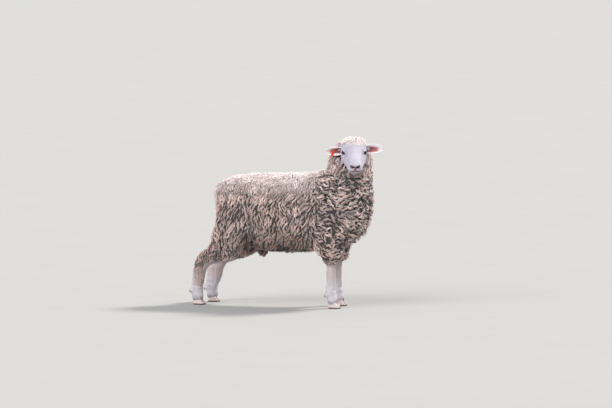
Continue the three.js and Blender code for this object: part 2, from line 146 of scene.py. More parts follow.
def unit(vectors):
    return vectors / np.maximum(np.linalg.norm(vectors, axis=-1, keepdims=True), 1e-9)


def along_surface(vectors, normals):
    return vectors - normals * np.sum(vectors * normals, axis=-1, keepdims=True)


class Field:
    """Values on a regular grid, read between its points."""

    def __init__(self, values, low, step):
        self.values, self.low, self.step = values, np.asarray(low), step

    def at(self, points):
        place = (points - self.low) / self.step
        cell = np.clip(np.floor(place).astype(np.int64), 0, np.array(self.values.shape) - 2)
        share = np.clip(place - cell, 0, 1)
        total = np.zeros(points.shape[:-1])
        for corner in itertools.product((0, 1), repeat=3):
            weight = np.prod(np.where(corner, share, 1 - share), axis=-1)
            total += weight * self.values[tuple(np.moveaxis(cell + corner, -1, 0))]
        return total

    def slope(self, points):
        """The unit direction in which the values rise."""
        steps = np.eye(3) * self.step
        return unit(np.stack([self.at(points + s) - self.at(points - s) for s in steps], axis=-1))


def patches(size):
    """A soft random field, from 0 to 1, whose patches are about that size."""
    low = LOW - 2 * size
    count = np.ceil((HIGH + 2 * size - low) / size).astype(int) + 1
    return Field(rng.random(count), low, size)


def blurred(values, times):
    """The values smoothed in place, and returned."""
    for _ in range(times):
        for axis in range(3):
            values = np.moveaxis(values, axis, 0)
            values[1:-1] = (values[:-2] + 2 * values[1:-1] + values[2:]) / 4
            values = np.moveaxis(values, 0, axis)
    return values


def doubled(values):
    """Values of a coarse grid read on the grid of half its step."""
    for axis in range(3):
        values = np.moveaxis(values, axis, 0)
        finer = np.empty((2 * len(values) - 1, *values.shape[1:]), np.float32)
        finer[::2] = values
        finer[1::2] = (values[:-1] + values[1:]) / 2
        values = np.moveaxis(finer, 0, axis)
    return values


COARSE_FIRST = np.floor((LOW - MARGIN) / COARSE).astype(int)
COARSE_SHAPE = np.ceil((HIGH + MARGIN) / COARSE).astype(int) - COARSE_FIRST + 1
FINE_FIRST, FINE_SHAPE = 2 * COARSE_FIRST, 2 * COARSE_SHAPE - 1
GRID_LOW = FINE_FIRST * FINE


def level_set(points, faces, step, band):
    polygons = {"triangles" if faces.shape[1] == 3 else "quads": faces.astype(np.uint32)}
    transform = vdb.createLinearTransform(voxelSize=step)
    return vdb.FloatGrid.createLevelSetFromPolygons(
        points.astype(np.float32), transform=transform, halfWidth=band, **polygons
    )


def as_array(grid, first, shape):
    values = np.empty(tuple(shape), np.float32)
    grid.copyToArray(values, ijk=tuple(int(i) for i in first))
    return values


def surface(field):
    """Points and quads where a field is zero."""
    grid = vdb.FloatGrid(float(field.values.max()))
    grid.transform = vdb.createLinearTransform(voxelSize=field.step)
    first = np.round(field.low / field.step).astype(int)
    grid.copyFromArray(np.ascontiguousarray(field.values, np.float32), ijk=tuple(int(i) for i in first))
    points, quads = grid.convertToQuads(0.0)
    return points.astype(np.float64), quads.astype(np.int64)


def triples(parts, label, kind=np.float32):
    """Three numbers for each of a mesh's points, faces or normals."""
    values = np.empty(len(parts) * 3, kind)
    parts.foreach_get(label, values)
    return values.reshape(-1, 3)


def triangles(mesh):
    """The corners of a mesh's triangles."""
    mesh.calc_loop_triangles()
    return triples(mesh.loop_triangles, "vertices", np.int32)


def node_triangles(*names):
    """The points and triangles of some nodes' solids, joined."""
    points, faces, count = [], [], 0
    for name in names:
        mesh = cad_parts[name].data
        points.append(triples(mesh.vertices, "co"))
        faces.append(triangles(mesh) + count)
        count += len(mesh.vertices)
    return np.concatenate(points), np.concatenate(faces)


def fine_cells(low, high):
    """The fine grid's cells round a box: the first, the one past the last, and the slices between them."""
    start = np.maximum(np.floor(low / FINE).astype(int), FINE_FIRST)
    stop = np.minimum(np.ceil(high / FINE).astype(int) + 1, FINE_FIRST + FINE_SHAPE)
    return start, stop, tuple(slice(a, b) for a, b in zip(start - FINE_FIRST, stop - FINE_FIRST))


def add_solid(values, name):
    """Joins one node's solid to the distances in `values`, which cover the fine grid."""
    points, faces = node_triangles(name)
    start, stop, window = fine_cells(points.min(0) - MARGIN, points.max(0) + MARGIN)
    near = as_array(level_set(points, faces, FINE, BAND), start, stop - start) - CLOSE
    np.minimum(values[window], near, out=values[window])


def add_ball(values, centre, radius):
    """Joins a ball to the distances in `values`."""
    reach = radius + BAND * FINE
    start, stop, window = fine_cells(centre - reach, centre + reach)
    axes = [np.arange(a, b) * FINE - m for a, b, m in zip(start, stop, centre)]
    away = np.sqrt(sum(part**2 for part in np.meshgrid(*axes, indexing="ij"))) - radius
    np.minimum(values[window], away.astype(np.float32), out=values[window])


# ---------------------------------------------------------------- ears' own frames

EAR_ROOT = np.array((-40.0, 52.0, -9.0))
EAR_LENGTH, EAR_HALF_WIDTH = 87.0, 24.0
EAR_DROOP = {1: 0.0, -1: 0.17}


def ear_axes(side):
    """Columns along the ear, across it to its upper edge, and out of its hollow, in the head's frame."""
    sag = EAR_DROOP[side]
    along = unit(np.array((-0.12, side, -0.07 - sag)))
    face = np.array((0.82, side * 0.1, 0.5 - 2.6 * sag))
    face = unit(face - along * (face @ along))
    return np.column_stack((along, -side * np.cross(along, face), face))


def in_ear(local, side):
    """Head-frame points in the ear's own frame."""
    return (local - EAR_ROOT * (1, side, 1)) @ ear_axes(side)


def from_ear(points, side):
    return np.asarray(points) @ ear_axes(side).T + EAR_ROOT * (1, side, 1)


# ---------------------------------------------------------------- the outline over the coat

# Balls that carry each ear's root: station along the ear, how far out of its hollow, radius.
EAR_BASE = ((-14, -9, 17), (-5, -7, 15), (4, -5, 13), (12, -2, 11), (20, 0, 8.5))
# Balls that carry each dewclaw: how far ahead of its middle, radius.
DEWCLAW_BED = ((0.0010, 0.0082), (0.009, 0.0120))
LEG_TOP = 0.20  # below it the legs' faceted solids are smoothed further


def outline_fields():
    """Distances to the outlines of body and ears in fine grids, and deep inside both in a coarse one."""
    body = np.full(FINE_SHAPE, BAND * FINE, np.float32)
    for name in FLESH + HOOVES:
        if not name.startswith("ear"):
            add_solid(body, name)
    for _, side in SIDES:
        add_ball(body, from_head(EYE_PLACE * (1, side, 1)), (EYE_RADIUS + 1.5) * MM)
        add_ball(body, from_head((127, side * 14, -3)), 11 * MM)
    body = blurred(body, 3)
    top = int(LEG_TOP / FINE) - FINE_FIRST[2]
    legs = blurred(body[:, :, :top].copy(), 9)
    share = smooth(top, top - 12, np.arange(top)).astype(np.float32)
    body[:, :, :top] = mix(body[:, :, :top], legs, share)
    for name in DEWCLAWS:
        for ahead, radius in DEWCLAW_BED:
            add_ball(body, middle(name) + (ahead, 0, 0.001), radius)
    ears = np.full(FINE_SHAPE, BAND * FINE, np.float32)
    for name in ("ear_left", "ear_right"):
        add_solid(ears, name)
    whole = blurred(np.minimum(body, ears), 1)
    points, quads = surface(Field(whole, GRID_LOW, FINE))
    deep = as_array(level_set(points, quads, COARSE, DEEP_BAND), COARSE_FIRST, COARSE_SHAPE)
    return Field(body, GRID_LOW, FINE), Field(ears, GRID_LOW, FINE), Field(blurred(deep, 2), GRID_LOW, COARSE)


def head_outline():
    points, faces = node_triangles("head", "eye_left", "eye_right")
    values = as_array(level_set(points, faces, COARSE, DEEP_BAND), COARSE_FIRST, COARSE_SHAPE)
    return Field(values, GRID_LOW, COARSE)


body_field, ear_field, outline = outline_fields()
head_field = head_outline()

# ---------------------------------------------------------------- where the coat is long

# Height above the floor, and the depth of the coat there, on the body and the legs.
COAT_BY_HEIGHT = ((0.0, 1.8), (0.17, 2.4), (0.205, 7.0), (0.25, 15.0), (0.32, 26.0), (0.42, 34.0))
FACE_COAT = 2.0
CAP_COAT = 12.0
TAIL_COAT = 19.0
TAIL_FRONT = float(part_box("trunk")[0].x) + 0.012
TAIL_LOW = float(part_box("tail")[0].z)
border_field = patches(0.014)
BORDER_RAGGED = 24  # how far the wool's border in the head wanders


def wool_edge(y, z):
    """The station in the head where wool gives way to short hair, by the angle from the crown."""
    angle = np.degrees(np.arctan2(np.abs(y), z + 18))
    return np.interp(angle, (0, 30, 60, 95, 125, 180), (-12, -18, -38, -50, -40, -18))


def short_haired(points):
    """1 on the face, 0 where the head's coat is wool, with a soft and ragged edge."""
    x, y, z = np.moveaxis(in_head(points), -1, 0)
    ragged = BORDER_RAGGED * (border_field.at(points) - 0.5)
    return smooth(-24, 10, x + ragged - wool_edge(y, z))


def head_share(points):
    """1 in the head and 0 off it."""
    return 1 - smooth(0.0012, 0.0048, head_field.at(points))


def ear_share(points):
    return 1 - smooth(0.001, 0.004, ear_field.at(points))


def coat_depth(points):
    """How deep the skin lies under the outline."""
    heights, depths = zip(*COAT_BY_HEIGHT)
    body = np.interp(points[..., 2], heights, depths)
    tail = smooth(0.0, 0.03, TAIL_FRONT - points[..., 0]) * smooth(-0.02, 0.02, points[..., 2] - TAIL_LOW)
    body = mix(body, TAIL_COAT, tail)
    head = mix(CAP_COAT, FACE_COAT, short_haired(points))
    return mix(body, head, head_share(points)) * MM


def bare_share(points):
    """1 where only short hair covers the skin: the face, the ears and the lower legs."""
    legs = 1 - smooth(0.208, 0.226, points[..., 2])
    return np.maximum(legs, np.maximum(short_haired(points) * head_share(points), ear_share(points)))


# ---------------------------------------------------------------- mesh helpers


def add_mesh(name, points, faces, attributes=None):
    """A smooth-shaded mesh object. `faces` is a list of index arrays, each of one kind of polygon."""
    mesh = bpy.data.meshes.new(name)
    sizes = np.concatenate([np.full(len(kind), kind.shape[1]) for kind in faces])
    corners = np.concatenate([kind.ravel() for kind in faces]).astype(np.int32)
    mesh.vertices.add(len(points))
    mesh.vertices.foreach_set("co", np.ascontiguousarray(points, np.float32).ravel())
    mesh.loops.add(len(corners))
    mesh.loops.foreach_set("vertex_index", corners)
    mesh.polygons.add(len(sizes))
    mesh.polygons.foreach_set("loop_start", (np.cumsum(sizes) - sizes).astype(np.int32))
    mesh.polygons.foreach_set("use_smooth", np.ones(len(sizes), bool))
    mesh.update(calc_edges=True)
    mesh.validate()
    made = bpy.data.objects.new(name, mesh)
    bpy.context.scene.collection.objects.link(made)
    add_attributes(made, attributes or {})
    return made


def add_attributes(made, attributes):
    for label, values in attributes.items():
        layer = made.data.attributes.new(label, "FLOAT", "POINT")
        layer.data.foreach_set("value", np.ascontiguousarray(values, np.float32).ravel())


def coordinates(made):
    return triples(made.data.vertices, "co").astype(np.float64)


def vertex_normals(made):
    return triples(made.data.vertex_normals, "vector").astype(np.float64)


def place_coordinates(made, points):
    made.data.vertices.foreach_set("co", np.ascontiguousarray(points, np.float32).ravel())
    made.data.update()


def apply_modifiers(made):
    graph = bpy.context.evaluated_depsgraph_get()
    mesh = bpy.data.meshes.new_from_object(made.evaluated_get(graph))
    made.modifiers.clear()
    old, made.data = made.data, mesh
    bpy.data.meshes.remove(old)


def refine(made, chosen):
    """Halves the edges whose points are both chosen."""
    mesh = bmesh.new()
    mesh.from_mesh(made.data)
    mesh.verts.ensure_lookup_table()
    edges = [edge for edge in mesh.edges if chosen[edge.verts[0].index] and chosen[edge.verts[1].index]]
    bmesh.ops.subdivide_edges(mesh, edges=edges, cuts=1, use_grid_fill=True, smooth=0.6)
    mesh.to_mesh(made.data)
    mesh.free()


# ---------------------------------------------------------------- skin


EAR_GROWTH = 0.0005  # makes up for the smoothing of the ears' thin rims
COAT_ZONE = (-0.047, 0.014)  # distances from the outline between which the coat's depth is worked out
DEEPEST = 0.036  # more than the coat's greatest depth
SHALLOW = (0.003, 0.006)  # depths of coat between which the fine field gives way to the coarse one


def skin_field():
    """The outline moved in by the depth of the coat, from the fine field where that is shallow."""
    values = outline.values
    depth = np.full(values.shape, DEEPEST, np.float32)
    near = (values > COAT_ZONE[0]) & (values < COAT_ZONE[1])
    depth[near] = coat_depth(outline.low + np.argwhere(near) * COARSE)
    depth = doubled(depth)
    share = smooth(*SHALLOW, depth).astype(np.float32)
    inner = mix(body_field.values, doubled(values), share) + depth
    inner = blurred(inner, 2)
    ears = ear_field.values.copy()
    for _, side in SIDES:
        for along, out, radius in EAR_BASE:
            add_ball(ears, from_head(from_ear((along, 0, out), side)), radius * MM)
    return Field(blurred(np.minimum(inner, ears - EAR_GROWTH), 1), GRID_LOW, FINE)


def thinned(made, weight, share):
    """Joins small faces into larger ones, most readily where `weight` is 1 and hardly where it is 0."""
    group = made.vertex_groups.new(name="thin")
    for level in np.unique(weight):
        group.add([int(i) for i in np.flatnonzero(weight == level)], float(level), "REPLACE")
    modifier = made.modifiers.new("thin", "DECIMATE")
    modifier.ratio = share
    modifier.vertex_group = "thin"
    modifier.vertex_group_factor = 1000.0
    apply_modifiers(made)
    made.vertex_groups.clear()


SKIN_TRIANGLES = 92000  # before the face is refined
FACE_THINS, LEGS_THIN, REST_THINS = 0.0, 0.99, 1.0  # how readily each part's faces are joined


def make_skin():
    points, quads = surface(skin_field())
    made = add_mesh("skin", points, [quads])
    face = np.maximum(short_haired(points) * head_share(points), ear_share(points)) > 0.02
    legs = points[:, 2] < LEG_TOP
    weight = np.where(face, FACE_THINS, np.where(legs, LEGS_THIN, REST_THINS))
    thinned(made, weight, SKIN_TRIANGLES / (2 * len(points)))
    return made


skin = make_skin()

# ---------------------------------------------------------------- materials


def srgb(*parts):
    """A colour given as it shows on a screen, 0 to 255, as the renderer's linear colour."""
    return tuple(part / 255 / 12.92 if part < 10 else ((part / 255 + 0.055) / 1.055) ** 2.4 for part in parts)


class Shader:
    """A small builder of node materials."""

    def __init__(self, name, roughness, sheen=0.0, specular=0.4, coat=0.0):
        self.material = bpy.data.materials.new(name)
        self.material.use_nodes = True
        self.tree = self.material.node_tree
        self.surface = self.tree.nodes["Principled BSDF"]
        self.surface.inputs["Roughness"].default_value = roughness
        self.surface.inputs["Sheen Weight"].default_value = sheen
        self.surface.inputs["Sheen Roughness"].default_value = 0.6
        self.surface.inputs["Specular IOR Level"].default_value = specular
        self.surface.inputs["Coat Weight"].default_value = coat
        self.surface.inputs["Coat Roughness"].default_value = 0.03

    def node(self, kind, **values):
        made = self.tree.nodes.new("ShaderNode" + kind)
        for label, value in values.items():
            setattr(made, label, value)
        return made

    def give(self, socket, value):
        if isinstance(value, (int, float)):
            socket.default_value = value
        elif isinstance(value, tuple):
            socket.default_value = (*value, 1)
        else:
            self.tree.links.new(value, socket)

    def attribute(self, name):
        return self.node("Attribute", attribute_name=name).outputs["Fac"]

    def place(self, stretch=(1, 1, 1)):
        mapping = self.node("Mapping")
        mapping.inputs["Scale"].default_value = stretch
        self.give(mapping.inputs["Vector"], self.node("TexCoord").outputs["Object"])
        return mapping.outputs["Vector"]

    def noise(self, scale, detail=3.0, place=None):
        texture = self.node("TexNoise")
        texture.inputs["Scale"].default_value = scale
        texture.inputs["Detail"].default_value = detail
        self.give(texture.inputs["Vector"], place or self.place())
        return texture.outputs["Fac"]

    def ramp(self, value, *stops):
        made = self.node("ValToRGB")
        elements = made.color_ramp.elements
        while len(elements) < len(stops):
            elements.new(0.5)
        for element, (place, colour) in zip(elements, stops):
            element.position = place
            element.color = (*colour, 1)
        self.give(made.inputs["Fac"], value)
        return made.outputs["Color"]

    def blend(self, share, first, second, kind="MIX"):
        made = self.node("Mix", data_type="RGBA", blend_type=kind)
        for socket, value in ((made.inputs[0], share), (made.inputs[6], first), (made.inputs[7], second)):
            self.give(socket, value)
        return made.outputs[2]

    def tinted(self, colour, *tints):
        """The colour with others laid over it, each by the attribute that it is given with."""
        for label, tint in tints:
            colour = self.blend(self.attribute(label), colour, tint)
        return colour

    def maths(self, kind, first, second=0.0, third=0.0):
        made = self.node("Math", operation=kind)
        for socket, value in zip(made.inputs, (first, second, third)):
            self.give(socket, value)
        return made.outputs[0]

    def joined(self, *parts):
        """A place made of three numbers."""
        made = self.node("CombineXYZ")
        for socket, value in zip(made.inputs, parts):
            self.give(socket, value)
        return made.outputs[0]

    def bump(self, height, depth):
        made = self.node("Bump")
        made.inputs["Strength"].default_value = 1.0
        made.inputs["Distance"].default_value = depth
        self.give(made.inputs["Height"], height)
        self.give(self.surface.inputs["Normal"], made.outputs["Normal"])

    def finish(self, colour):
        self.give(self.surface.inputs["Base Color"], colour)
        return self.material


WHITE = (1.0, 1.0, 1.0)
# Painted shade deep in the coat: the dark roots of the locks and the skin under the wool, the browner lower
# part of a lock, the pinkish roots of the pale locks.
ROOT_SHADE_COLOUR = srgb(60, 45, 40)
LOWER_LOCK_SHADE_COLOUR = srgb(190, 158, 146)
WOOL_COLOUR = srgb(251, 216, 208)
TIP_COLOUR = srgb(255, 238, 231)
PALE_ROOT_SHADE_COLOUR = srgb(226, 202, 202)
PALE_COLOUR = srgb(253, 243, 243)
# Painted shade in the gaps between staples.
GAP_SHADE_COLOUR = srgb(50, 37, 32)
STAIN_COLOUR = srgb(190, 156, 138)
CRIMPS = 11  # waves of the finest crimp along a lock


def wool_material():
    """Off-white crimped fibres, turned brown and dark towards their roots and in the gaps between staples by
    painted shade.
    """
    look = Shader("wool", roughness=0.85, sheen=0.6, specular=0.2)
    along, chance = look.attribute("along"), look.attribute("chance")
    # Darker towards the root: painted shade inside the coat.
    colour = look.ramp(
        along, (0.0, ROOT_SHADE_COLOUR), (0.22, LOWER_LOCK_SHADE_COLOUR), (0.42, WOOL_COLOUR), (1.0, TIP_COLOUR),
    )
    # Pale locks: the cap's own white wool, and painted sunlight over the back.
    pale = look.ramp(along, (0.0, PALE_ROOT_SHADE_COLOUR), (0.4, PALE_COLOUR))
    colour = look.blend(look.attribute("pale"), colour, pale)
    fibre_place = look.joined(look.maths("MULTIPLY", look.attribute("around"), 5.0),
                              look.maths("MULTIPLY", along, 2.2), look.maths("MULTIPLY", chance, 60.0))
    fibres = look.noise(1.0, 3.0, fibre_place)
    colour = look.blend(1.0, colour, look.ramp(fibres, (0.3, srgb(226, 219, 214)), (0.6, WHITE)), "MULTIPLY")
    # Painted shade between the strands of a staple, in the folds between staples and under the belly.
    colour = look.blend(look.attribute("gap"), colour, GAP_SHADE_COLOUR, "MULTIPLY")
    colour = look.blend(look.attribute("stain"), colour, STAIN_COLOUR, "MULTIPLY")
    colour = look.blend(1.0, colour, look.ramp(chance, (0.0, srgb(232, 226, 224)), (0.6, WHITE)), "MULTIPLY")
    crimp = look.maths("SINE", look.maths("MULTIPLY_ADD", along, 2 * math.pi * CRIMPS, chance))
    look.bump(look.maths("MULTIPLY_ADD", crimp, 0.2, fibres), 0.0004)
    return look.finish(colour)


HAIR_COLOUR = srgb(178, 174, 187)
HAIR_SHADE = srgb(166, 160, 174)
SHANK_COLOUR = srgb(188, 176, 171)
FOOT_COLOUR = srgb(206, 198, 205)
EAR_COLOUR = srgb(244, 238, 242)
TEAR_SHADE_COLOUR = srgb(144, 128, 154)
PINK_COLOUR = srgb(180, 106, 112)
EAR_ROOT_SHADE_COLOUR = srgb(112, 48, 46)
DARK_RIM_AND_SHADE_COLOUR = srgb(22, 10, 10)
PAD_COLOUR = srgb(140, 92, 94)
HAIR_TINTS = (("shank", SHANK_COLOUR), ("foot", FOOT_COLOUR), ("ear", EAR_COLOUR))
# The pink and the pad are the skin's own colours; the tints of the tear hollow and of the ear's root are
# painted shade.
SKIN_TINTS_AND_SHADES = (("lilac", TEAR_SHADE_COLOUR), ("pink", PINK_COLOUR), ("deep", EAR_ROOT_SHADE_COLOUR), ("pad", PAD_COLOUR))


def skin_material():
    """Short white hair over pink skin, bare on the nose, the lips and in the ears, with painted shade in the
    openings, the creases and hollows of the face and on the skin under the wool.
    """
    look = Shader("short_hair", roughness=0.75, sheen=0.15, specular=0.25)
    colour = look.ramp(look.noise(45, 4), (0.3, HAIR_SHADE), (0.7, HAIR_COLOUR))
    colour = look.tinted(colour, *HAIR_TINTS, *SKIN_TINTS_AND_SHADES)
    colour = look.blend(look.attribute("stain"), colour, STAIN_COLOUR, "MULTIPLY")
    # Painted shade: the skin under the wool, then the nostrils, the creases of the mouth and the lids' dark
    # rims.
    colour = look.tinted(colour, ("under", ROOT_SHADE_COLOUR), ("dark", DARK_RIM_AND_SHADE_COLOUR))
    look.bump(look.noise(260, 4, look.place((1.6, 1.6, 0.7))), 0.0009)
    return look.finish(colour)


def hair_material():
    """The short white hair where it stands free of the skin."""
    look = Shader("white_hair", roughness=0.75, sheen=0.15, specular=0.25)
    colour = look.ramp(look.attribute("chance"), (0.0, HAIR_SHADE), (0.7, HAIR_COLOUR))
    colour = look.tinted(colour, *HAIR_TINTS)
    colour = look.blend(look.attribute("stain"), colour, STAIN_COLOUR, "MULTIPLY")
    look.bump(look.noise(900, 2), 0.0002)
    return look.finish(colour)


# ---------------------------------------------------------------- face

LID_HALF_LENGTH, LID_ABOVE, LID_BELOW = 0.66, 0.52, 0.48  # of the opening, in radians round the eyeball
LID_TILT = math.radians(-12)
LID_FORWARD = 0.10  # how far the opening is turned towards the nose, in radians


def eye_axes(side):
    """Columns towards the nose along the opening, up across it and out along the gaze, in the head."""
    gaze = unit(np.array((math.cos(EYE_OUTWARD), side * math.sin(EYE_OUTWARD), 0.1)))
    level = np.array((math.cos(LID_TILT), 0, -math.sin(LID_TILT)))
    corner = unit(level - gaze * (level @ gaze))
    return np.column_stack((corner, -side * np.cross(gaze, corner), gaze))


def lid_opening(local, side):
    """Below 0 inside the opening between the lids and rising outside it, and how far the eye's middle is."""
    from_eye = (local - EYE_PLACE * (1, side, 1)) @ eye_axes(side)
    along = np.arctan2(from_eye[:, 0], from_eye[:, 2]) - LID_FORWARD
    up = np.arctan2(from_eye[:, 1], from_eye[:, 2])
    half = np.where(up > 0, LID_ABOVE, LID_BELOW)
    return np.hypot(along / LID_HALF_LENGTH, up / half) - 1, np.linalg.norm(from_eye, axis=1)


# How far outside the opening, and how high above the eyeball the skin stands there.
LID_PROFILE = (
    (-0.5, -4.0), (-0.14, -3.2), (-0.02, 0.9), (0.10, 1.9), (0.4, 2.3), (0.62, 1.5), (0.95, 2.2), (1.6, 3.2),
)


def shape_lids(local, side):
    """Lays the skin round an eye over the eyeball as lids, and behind it within their opening."""
    opening, away = lid_opening(local, side)
    places, heights = zip(*LID_PROFILE)
    wanted = EYE_RADIUS + np.interp(opening, places, heights)
    share = (1 - smooth(0.75, 1.7, opening)) * (1 - smooth(20, 30, away))
    centre = EYE_PLACE * (1, side, 1)
    return centre + (local - centre) * mix(1, wanted / np.maximum(away, 1), share)[:, None]


NOSTRIL_INNER, NOSTRIL_OUTER = np.array((137.0, 8.5, -2.5)), np.array((129.0, 20.5, 1.5))
NOSTRIL_DEPTH = 7.0


def nostril_share(local, side):
    """1 in the middle of the comma-shaped nostril, fading over its rim."""
    inner, outer = NOSTRIL_INNER * (1, side, 1), NOSTRIL_OUTER * (1, side, 1)
    run = outer - inner
    share = np.clip((local - inner) @ run / (run @ run), 0, 1)
    near = inner + share[:, None] * run
    near[:, 2] -= 2.5 * np.sin(np.pi * share)
    away = np.linalg.norm((local - near) * (0.5, 1, 1), axis=1)
    wide = 6.2 - 2.2 * share + 1.0 * np.sin(np.pi * share)
    return (1 - smooth(0.5, 1.2, away / wide)) * (local[:, 0] > 100)


def mouth_height(local):
    """The height of the lips' line: an arch at the middle, full on each side, falling to the corners."""
    x, y = local[:, 0], np.abs(local[:, 1])
    return -17.5 - 3.0 * smooth(0, 11, y) - 0.33 * (142 - x) * smooth(12, 30, y)


def shape_muzzle(local, normals):
    """Gives the muzzle its nostrils with flared rims, full lips, the line of the mouth and the philtrum."""
    x, y, z = local.T
    from_mouth = z - mouth_height(local)
    push = np.zeros(len(local))
    for _, side in SIDES:
        hole = nostril_share(local, side)
        middle_x, middle_y, middle_z = (NOSTRIL_INNER + NOSTRIL_OUTER) / 2 * (1, side, 1)
        flare = hump((x, middle_x, 12), (y, middle_y, 13), (z, middle_z, 10))
        push += 1.6 * flare * (1 - hole) - NOSTRIL_DEPTH * hole
    push -= 2.8 * hump((from_mouth, 0, 1.15)) * smooth(98, 110, x)
    lips = smooth(92, 106, x)
    push += 1.5 * lips * hump((from_mouth, 5.5, 4.5))
    push += 1.0 * lips * hump((from_mouth, -5.0, 4.0))
    push -= 1.7 * hump((y, 0, 1.3)) * smooth(116, 128, x) * smooth(-22, -18, z) * (1 - smooth(-4, 2, z))
    return local + normals * push[:, None]


def shape_bones(local, normals):
    """The hollow before the eye, the cheekbone, the flat of the nose, the brow and the jaw's muscle."""
    x, y, z = local.T
    side = np.abs(y)
    hollow = -3.0 * hump((x, 24, 14), (side, 40, 10), (z, 1, 12))
    ridge = 2.6 * hump((x, 34, 30), (z + 0.12 * x, -18, 7)) * smooth(25, 38, side)
    flank = -2.6 * hump((x, 84, 26), (z, -2, 13)) * smooth(18, 30, side)
    jaw = 2.6 * hump((x, -6, 26), (z, -46, 18)) * smooth(28, 44, side)
    bridge = 1.4 * hump((x, 60, 34), (y, 0, 12)) * smooth(8, 20, z)
    brow = 2.2 * hump((x, -4, 17), (side, 44, 10), (z, 19, 6))
    return local + normals * (hollow + ridge + flank + jaw + bridge + brow)[:, None]


def shape_ears(local, normals):
    """Deepens each ear's hollow towards its root, between two ridges."""
    push = np.zeros(len(local))
    for _, side in SIDES:
        along, across, _ = in_ear(local, side).T
        inner = smooth(0.2, 0.6, normals @ ear_axes(side)[:, 2]) * (local[:, 1] * side > 40)
        push -= 4.5 * inner * hump((along, 13, 15), (across, -1, 9))
        ridge = hump((across + 0.04 * along, 7, 2.2)) + hump((across, -5, 2.0))
        push += 0.8 * inner * ridge * smooth(18, 28, along) * (1 - smooth(48, 66, along))
    return local + normals * push[:, None]


# How near to an eye, and from which station on the muzzle, the mesh is halved, once and once more.
FINER_FACE = ((28, 96), (19, 118))


def shape_head():
    """Refines the skin round the eyes and the muzzle, then gives the head its form."""
    for reach, front in FINER_FACE:
        local = in_head(coordinates(skin))
        eyes = away_from_pair(local, EYE_PLACE) < reach
        nose = (np.abs(local[:, 1]) < 36) & (local[:, 0] > front) & (np.abs(local[:, 2]) < 60)
        refine(skin, (eyes | nose) & (head_field.at(from_head(local)) < 0.004))
    points = coordinates(skin)
    local = in_head(points)
    part = np.flatnonzero((head_field.at(points) < 0.006) & (local[:, 0] > -70) & (np.abs(local[:, 1]) < 75))
    normals = vertex_normals(skin) @ HEAD_AXES
    local[part] = shape_bones(local[part], normals[part])
    local[part] = shape_muzzle(local[part], normals[part])
    for _, side in SIDES:
        local[part] = shape_lids(local[part], side)
    ears = np.flatnonzero(ear_share(points) > 0.5)
    local[ears] = shape_ears(local[ears], normals[ears])
    moved = np.concatenate((part, ears))
    points[moved] = from_head(local[moved])
    place_coordinates(skin, points)


# ---------------------------------------------------------------- legs

SHANKS = [name for name in FLESH if "cannon" in name]
LEG_REACH = 0.06  # from the middle of a shank to all of its leg


def shape_legs():
    """Gives the shanks a groove between bone and tendon, and the feet their cleft."""
    points = coordinates(skin)
    normals = vertex_normals(skin)
    push = np.zeros(len(points))
    for name in SHANKS:
        x, y, _ = middle(name)
        ahead, beside, height = points[:, 0] - x, np.abs(points[:, 1] - y), points[:, 2]
        near = (np.hypot(ahead, beside) < LEG_REACH) & (height < LEG_TOP)
        shank = smooth(0.085, 0.105, height) * (1 - smooth(0.165, 0.19, height))
        groove = 2.4 * hump((ahead, -0.006, 0.006)) * smooth(0.008, 0.016, beside) * shank
        sinew = 1.6 * hump((ahead, 0.004, 0.007), (height, 0.062, 0.014)) * smooth(0.01, 0.02, beside)
        cleft = 2.2 * hump((beside, 0, 0.004)) * smooth(0.056, 0.038, height) * (np.abs(normals[:, 0]) > 0.5)
        push -= near * (groove + sinew + cleft) * MM
    place_coordinates(skin, points + normals * push[:, None])


# ---------------------------------------------------------------- markings, and painted sunlight on the back

stain_field = patches(0.06)
pale_field = patches(0.03)


def outer_shank(points):
    """1 on the outer face of the hind shanks, without the strip behind them."""
    x, y, _ = np.moveaxis(points, -1, 0)
    ahead = x - HIND_X
    band = smooth(-0.034, -0.020, ahead) * (1 - smooth(0.016, 0.028, ahead))
    return smooth(-0.004, 0.010, np.abs(y) - HIND_Y) * band


def markings_and_top_light(points):
    """How pale and how stained the coat is, the same on the skin and on the wool over it. The paleness over
    the back, the rump and the crown is painted sunlight; on the cap it is the wool's own white.
    """
    x, y, z = np.moveaxis(points, -1, 0)
    cap = head_share(points)
    # Painted sunlight: paler over the top of the back, the rump and the crown, most on the far side, towards
    # the sun.
    top = smooth(0.50, 0.64, z) * smooth(0.30, 0.10, x)
    rump = smooth(-0.32, -0.39, x) * smooth(0.36, 0.5, z)
    crown = smooth(0.64, 0.76, z) * (0.6 + 0.4 * smooth(-0.05, 0.01, y))
    pale = np.clip(0.9 * top + 0.75 * rump + 0.8 * crown + cap, 0, 1) * mix(0.72, 1.0, pale_field.at(points))
    pale = np.maximum(pale, cap)
    pale = np.maximum(pale, 0.85 * smooth(0.21, 0.12, z))
    belly = smooth(-0.24, -0.12, x) * smooth(0.2, 0.1, x)
    low = smooth(0.42, 0.28, z) * smooth(0.18, 0.24, z) * (0.15 + 0.85 * belly)
    outer_hind = outer_shank(points) * smooth(0.06, 0.11, z) * (z < 0.22)
    shank = smooth(0.0, 0.02, x - HIND_X) * (x < 0) * smooth(0.05, 0.1, z) * (z < 0.22)
    marks = 0.9 * low + 0.4 * smooth(0.6, 0.9, stain_field.at(points)) * smooth(0.2, 0.3, z)
    stain = np.clip(marks + 0.35 * outer_hind + 0.25 * shank, 0, 1) * (1 - cap)
    return pale, stain


def leg_shares(points):
    """1 on the warm white hair of the shanks, and 1 on the whiter feet."""
    legs = 0.9 * smooth(0.25, 0.23, points[:, 2])
    foot = smooth(0.17, 0.06, points[:, 2])
    return legs * (1 - foot), legs * foot


